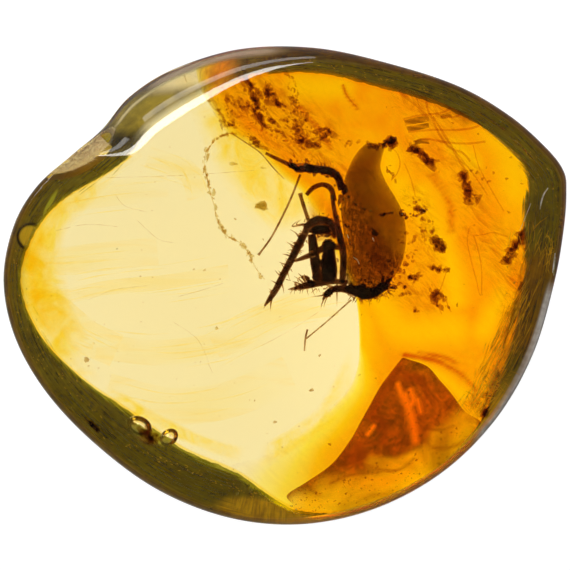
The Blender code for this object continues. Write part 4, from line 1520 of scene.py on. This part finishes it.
# Each band's start and end, how many strokes, how far they stray, their greatest length, their lean
# and how much it wobbles, both in degrees.
SCRATCH_BANDS = (
    ((-19.50, 3.54), (-18.93, -1.75), 44, 0.3, 2.0, -83, 6),
    ((-18.93, -1.75), (-16.21, -7.18), 70, 0.5, 2.4, -62, 6),
    ((-16.21, -7.18), (-11.64, -11.61), 70, 0.65, 2.4, -45, 6),
    ((-11.64, -11.61), (-6.36, -14.18), 70, 0.65, 2.4, -27, 6),
    ((-6.36, -14.18), (-1.07, -15.54), 60, 0.5, 2.2, -13, 6),
    ((-18.93, 4.54), (-16.07, 7.25), 40, 0.45, 1.8, 48, 8),
    ((-16.07, 6.11), (-11.79, 8.39), 36, 0.45, 1.6, 38, 8),
    ((0.36, 16.11), (6.07, 15.39), 40, 0.35, 1.6, -5, 8),
    ((6.07, 15.39), (11.07, 13.54), 50, 0.4, 1.8, -22, 8),
    ((11.07, 13.54), (16.07, 10.96), 50, 0.4, 1.8, -30, 8),
    ((16.07, 10.96), (18.93, 8.39), 36, 0.5, 1.6, -45, 12),
    ((18.57, 8.11), (18.57, 4.54), 30, 0.7, 1.6, 90, 20),
    ((18.36, 4.39), (18.29, 1.68), 46, 0.55, 2.2, 96, 16),
    ((18.29, 1.68), (17.57, -0.89), 60, 0.6, 2.6, 74, 12),
    ((17.57, -0.89), (16.36, -4.04), 70, 0.65, 3.0, 68, 7),
    ((16.36, -4.04), (14.93, -7.04), 70, 0.75, 3.0, 63, 6),
    ((15.93, -1.32), (14.21, -6.18), 44, 0.5, 3.4, 64, 4),
    ((15.07, -6.61), (13.79, -8.75), 50, 0.6, 2.2, 58, 8),
    ((14.93, -5.89), (13.93, -8.61), 46, 0.5, 0.9, -30, 20),
)
mark_tones = (1, 1, 0.9), (0.8, 0.76, 0.6)
mark_soak = (0.6, 0.54, 0.05), 9000
mark_paint = mottled_paint("grinding_marks", clear_plain, 1200, (0.35, 0.7), mark_tones, mark_soak)


def strokes_along(bands, rng, limit, shortest, radii, tip, height, steps, sides):
    """Straight strokes at even chances along each band, straying along x by a normal spread and leaning
    with a normal wobble. Each is moved inwards until it is within its limit of the outline's reach. Its
    length and its radius at the middle are drawn evenly between their ends."""
    strokes = []
    for start, end, count, spread, length, lean, wobble in bands:
        for _ in range(count):
            share = rng.uniform(0, 1)
            x = start[0] + (end[0] - start[0]) * share + rng.normal(0, spread)
            y = start[1] + (end[1] - start[1]) * share
            turn = math.radians(lean + rng.normal(0, wobble))
            half = length * rng.uniform(shortest, 1) / 2
            x, y = drawn_in(x, y, limit, HELD_INSIDE * half)
            dx, dy = half * math.cos(turn), half * math.sin(turn)
            rows = [(x - dx, y - dy, tip), (x, y, rng.uniform(*radii)), (x + dx, y + dy, tip)]
            middle = height(np.array(x), np.array(y)) if callable(height) else height
            strokes.append(thread(rows, middle, middle, steps, sides))
    return strokes


rng = np.random.default_rng(53)
scratches = strokes_along(
    SCRATCH_BANDS, rng, limit=0.975, shortest=0.3, radii=(0.02, 0.055),
    tip=0.01, height=8.0, steps=3, sides=6,
)
add_piece("grinding_marks", scratches, mark_paint)

SMEAR_BANDS = (
    ((18.57, 4.32), (18.43, 1.68), 12, 0.35, 2.2, 92, 6),
    ((18.43, 1.68), (17.64, -1.04), 14, 0.35, 2.4, 74, 6),
    ((17.79, -0.75), (16.71, -3.75), 16, 0.35, 2.6, 68, 6),
    ((16.86, -3.18), (15.36, -6.18), 12, 0.3, 2.6, 62, 6),
    ((15.07, -6.46), (14.07, -8.32), 8, 0.3, 1.8, 60, 6),
)
smear_tones = (1, 1, 1), (0.8, 0.7, 0.6)
smear_soak = (0.62, 0.52, 0.05), 2000
smear_paint = mottled_paint("polishing_smears", clear_plain, 1500, (0.35, 0.7), smear_tones, smear_soak)
smears = strokes_along(
    SMEAR_BANDS, rng, limit=0.96, shortest=0.4, radii=(0.1, 0.28), tip=0.02, height=6.5, steps=4, sides=8
)
add_piece("polishing_smears", smears, smear_paint)

# ------------------------------------------------------------------------------------------------
# The worn skin. A thin film of fine scratches and rubbed-in dirt under the polish, brushed along the
# edge by the wheel: a closed ring, olive to brown and whitish at the right, drawn in past the hollow.
# Its olive is partly painted shade for the dark band along the ground edge, and it carries painted
# light too: a sheen at the far left and a brighter border along the outline.

FILM_DEPTH, FILM_THICK = 0.5, 0.12  # below the polished surface, and from face to face
FILM_MARGIN = 0.18  # from the outline
FILM_REACH = 0.45  # inwards past the bevel
FILM_REACH_AT_RIGHT = 0.5  # and this much more at the right-hand side,
RIGHT_FROM, RIGHT_FULL = 14, 18  # growing between these places along the length
FILM_START = 11  # the station it starts and ends at, just past the hollow
FILM_SEARCH, FILM_TRIES = 8, 161  # how far in to look for room beside the hollow, in how many steps
FILM_BY_HOLLOW = 0.4  # from the hollow
NARROWEST_FILM = 0.8
# Zones of the film, like those of the skin.
CROSS_BRUSHED = (-1.4, -15.2, 3.6, 1.8, -12)
BROWN_FILM = (18.4, -1.5, 4.2, 5.5, -10)
GOLDEN_FILM = (-2.0, -16.0, 3.8, 1.4, -10)
YELLOW_LINE = (-16.5, 5.8, 1.4, 0.22, 60)
SPOT_BORDER = (-17.9, 3.4, 1.15, 1.15)
YELLOW_SPOT = (-17.9, 3.4, 0.95, 0.95)
SHEEN = (-5.2, 15.5, 7.5, 2.6, 16)
OVER_BUBBLES = (-9.4, -10.2, 2.1, 1.25, -22)
THIN_FILM = (-8.5, 14.0, 7.5, 4.0, 24)


def film_top(x, y):
    """Height of the film's upper face: a set depth below the polished surface."""
    return upper_skin(x, y) - FILM_DEPTH


def film_foot(x, y):
    """Height of the film's lower face."""
    return film_top(x, y) - FILM_THICK


def film_fullness(from_inner, from_outer, along):
    """Rises over a millimetre from the inner edge, and falls sharply at the outer one."""
    return np.clip(from_inner / 1.0, 0, 1) * np.clip(from_outer / 0.1, 0, 1)


worn_plain = {"Roughness": 0.6, "IOR": 1.3}
film_paint, place = new_paint("worn_skin_shade_and_sheen", worn_plain)
depth = place.attribute("depth")
along = place.attribute("along")
across = place.attribute("across")
# Brush strokes along the edge, and across it in one zone.
round_edge = place.node("CombineXYZ", {}, {0: along * 0.3, 1: across * 8.0, 2: 0.0})
over_edge = place.node("CombineXYZ", {}, {0: along * 5.0, 1: across * 0.7, 2: 0.0})
cross_brushed = place.spot(*CROSS_BRUSHED).span(0, 0.4)
brush = round_edge.noise(1.0, detail=4)
brush = (1.0 - cross_brushed) * brush + cross_brushed * over_edge.noise(1.0, detail=4)
fine = place.noise(2600, detail=4).span(0.35, 0.65)
strokes = brush.span(0.25, 0.75) * 0.8 + fine * 0.2
# Its colours, zone by zone. The olive is partly painted shade, and the border and sheen are painted light.
tone = strokes.mix((0.172, 0.122, 0.0, 1), (0.275, 0.196, 0.001, 1))
brown_tone = strokes.mix((0.2, 0.095, 0.0, 1), (0.4, 0.19, 0.001, 1))
tone = place.spot(*BROWN_FILM).span(0, 0.4).mix(tone, brown_tone)
dark_patches = place.noise(330, detail=4, distortion=0.8).span(0.48, 0.62)
tone = (dark_patches * 0.25).mix(tone, (0.085, 0.05, 0.0, 1))
gold_zone = place.spot(*GOLDEN_EDGE).span(0, 0.3)
gold_tone = strokes.mix((0.45, 0.22, 0.002, 1), (1, 0.6, 0.01, 1))
tone = gold_zone.mix(tone, gold_tone)
# A brighter brown-gold border along the outline: painted light coming through the side.
border = gold_zone.mix((0.45, 0.25, 0.01, 1), (1, 0.5, 0.01, 1))
tone = (across.span(0.9, 0.3) * 0.7).mix(tone, border)
tone = place.spot(*GOLDEN_FILM).span(0, 0.4).mix(tone, gold_tone)
tone = place.spot(*YELLOW_LINE).span(0, 0.5).mix(tone, (0.6, 0.55, 0.02, 1))
tone = place.spot(*SPOT_BORDER).span(0, 0.1).mix(tone, (0.05, 0.03, 0.0, 1))
tone = place.spot(*YELLOW_SPOT).span(0, 0.2).mix(tone, (0.85, 0.55, 0.01, 1))
# A painted sheen where the far shoulder catches the light.
sheen = place.spot(*SHEEN).span(0, 0.4) * across.span(0.2, 0.6) * across.span(1.15, 0.65)
tone = sheen.mix(tone, (0.97, 0.85, 0.76, 1))
# Whitish along the outline at the right.
whitish_rim = place.spot(*WHITISH_RIM).span(0, 0.2) * across.span(0.78, 0.5)
tone = whitish_rim.mix(tone, fine.mix((0.8, 0.77, 0.72, 1), (1, 1, 0.98, 1)))
# How much of the resin it covers.
ragged = (depth * 1.6 + brush - 1.0).span(0.0, 0.5)
over_bubbles = place.spot(*OVER_BUBBLES).span(0, 0.3)
thin = place.spot(*THIN_FILM).span(0, 0.4) * (1.0 - sheen)
clear_edge = across.span(0.2, 0.5).most(gold_zone)
film_share = ragged * (0.62 + 0.28 * strokes) * (1.0 - over_bubbles) * (1.0 - 0.95 * thin) * clear_edge
film_share = film_share.most(whitish_rim * 0.9)
vary(film_paint, place, **{"Base Color": tone, "Alpha": film_share})
# Its shape: the outline, drawn in along each ray until the film's upper face clears the hollow.
looped = np.roll(rim, -FILM_START * COLUMNS_A_STATION, axis=0)
looped = np.concatenate([looped, looped[:1]])
reach = np.hypot(looped[:, 0], looped[:, 1])
outwards = looped[:, :2] / reach[:, None]
tries = (reach - FILM_MARGIN)[None, :] - np.linspace(0, FILM_SEARCH, FILM_TRIES)[:, None]
tried = tries[..., None] * outwards
tried = np.concatenate([tried, film_top(tried[..., 0], tried[..., 1])[..., None]], axis=-1)
clear = np.linalg.norm((tried - HOLLOW_CENTRE) / (HOLLOW_RADII + FILM_BY_HOLLOW), axis=-1) > 1
outer_reach = np.take_along_axis(tries, np.argmax(clear, axis=0)[None, :], axis=0)[0]
at_right = np.clip((looped[:, 0] - RIGHT_FROM) / (RIGHT_FULL - RIGHT_FROM), 0, 1)
further = FILM_REACH + FILM_REACH_AT_RIGHT * at_right
inner_reach = np.minimum(reach - BELLY - looped[:, 3] - further, outer_reach - NARROWEST_FILM)
inner, outer = inner_reach[:, None] * outwards, outer_reach[:, None] * outwards
skin, swell = pod(inner, outer, film_top, film_foot, film_fullness, steps=1, columns=40)
film = add_piece("worn_skin_shade_and_sheen", [skin], film_paint)
rings = skin[0][:-2].reshape(*swell.shape, 3)
travelled = np.cumsum(np.linalg.norm(np.diff(outer, axis=0, prepend=outer[:1]), axis=1))
mark(film, "depth", swell)
mark(film, "along", travelled[:, None] + 0 * swell)
mark(film, "across", reach[:, None] - np.hypot(rings[..., 0], rings[..., 1]))

# ------------------------------------------------------------------------------------------------
# The bright scratches. Single scratches near the surface that catch the light: a few white ones at
# the right and beside the insect, and many fine gold ones in the worn skin.

WHITE_HEIGHT = 11.05
WHITE_SCRATCHES = (
    ((18.50, 6.82, 0.043), (18.21, 6.39, 0.054), (18.04, 5.89, 0.054), (17.93, 5.32, 0.032)),
    ((19.00, 2.25, 0.029), (18.93, 1.68, 0.046), (18.79, 0.68, 0.029)),
    ((4.79, 1.96, 0.011), (5.07, 1.75, 0.016), (5.21, 1.46, 0.011)),
    ((6.14, 3.32, 0.011), (6.25, 3.07, 0.016)),
    ((4.36, 3.54, 0.011), (4.46, 3.29, 0.016)),
    ((17.29, 5.75, 0.014), (16.86, 4.68, 0.018), (16.50, 3.82, 0.014)),
)
white_tones = (0.55, 0.5, 0.35), (0.95, 0.93, 0.88)
white_paint = mottled_paint("white_scratches", worn_plain, 2500, (0.3, 0.6), white_tones)
whites = [thread(rows, WHITE_HEIGHT, WHITE_HEIGHT, steps=4, sides=6) for rows in WHITE_SCRATCHES]
add_piece("white_scratches", whites, white_paint)

GOLD_DEPTH = 0.38  # below the polished surface, just above the worn skin
GOLD_BANDS = (
    ((17.50, 4.54), (17.86, 1.11), 40, 0.7, 1.2, 80, 20),
    ((18.64, 3.54), (18.86, 1.25), 26, 0.2, 0.7, 85, 25),
    ((17.07, -0.46), (15.79, -4.04), 40, 0.5, 2.6, 68, 7),
    ((15.93, -3.89), (14.21, -7.04), 44, 0.6, 2.4, 63, 7),
    ((14.93, -5.89), (13.64, -8.75), 40, 0.6, 1.8, 60, 14),
    ((15.79, -5.75), (14.36, -8.04), 24, 0.5, 0.8, -20, 25),
    ((-17.50, -4.61), (-11.79, -11.04), 40, 0.6, 0.2, -45, 30),
    ((-11.79, -11.04), (0.36, -15.75), 70, 0.5, 0.2, -24, 30),
    ((-19.07, 2.54), (-17.50, -4.61), 20, 0.3, 0.2, -72, 30),
    ((1.07, 15.96), (11.79, 13.25), 40, 0.4, 0.25, -15, 25),
    ((16.79, 9.68), (18.93, 5.04), 24, 0.7, 0.3, -60, 40),
)
gold_tones = (0.4, 0.2, 0.005), (0.85, 0.46, 0.01)
gold_paint = mottled_paint("gold_scratches", worn_plain, 2500, (0.3, 0.6), gold_tones)
rng = np.random.default_rng(61)


def gold_height(x, y):
    """A set depth below the polished surface."""
    return upper_skin(x, y) - GOLD_DEPTH


golds = strokes_along(
    GOLD_BANDS, rng, limit=0.96, shortest=0.3, radii=(0.012, 0.026),
    tip=0.01, height=gold_height, steps=3, sides=5,
)
add_piece("gold_scratches", golds, gold_paint)

# ------------------------------------------------------------------------------------------------
# The crust chips. Dark slivers of the stone's old crust, pressed in under the skin at the right-hand
# side beside the grinding marks.

CRUST_STRINGS = (
    (((17.07, 3.54), (17.43, 1.68), (17.29, -0.18)), 40, 0.24, 0.1),
    (((18.07, 2.96), (18.29, 1.68), (18.21, 0.39)), 34, 0.3, 0.1),
    (((16.93, -0.18), (17.00, -1.75), (16.50, -3.18)), 34, 0.24, 0.1),
    (((15.07, -6.46), (14.50, -7.61), (14.07, -8.32)), 26, 0.3, 0.08),
)
crusts = crumbs(CRUST_STRINGS, (5.6, 7.6), rng, stretch=2.6)
add_piece("crust_chips", crusts, strip_paint)
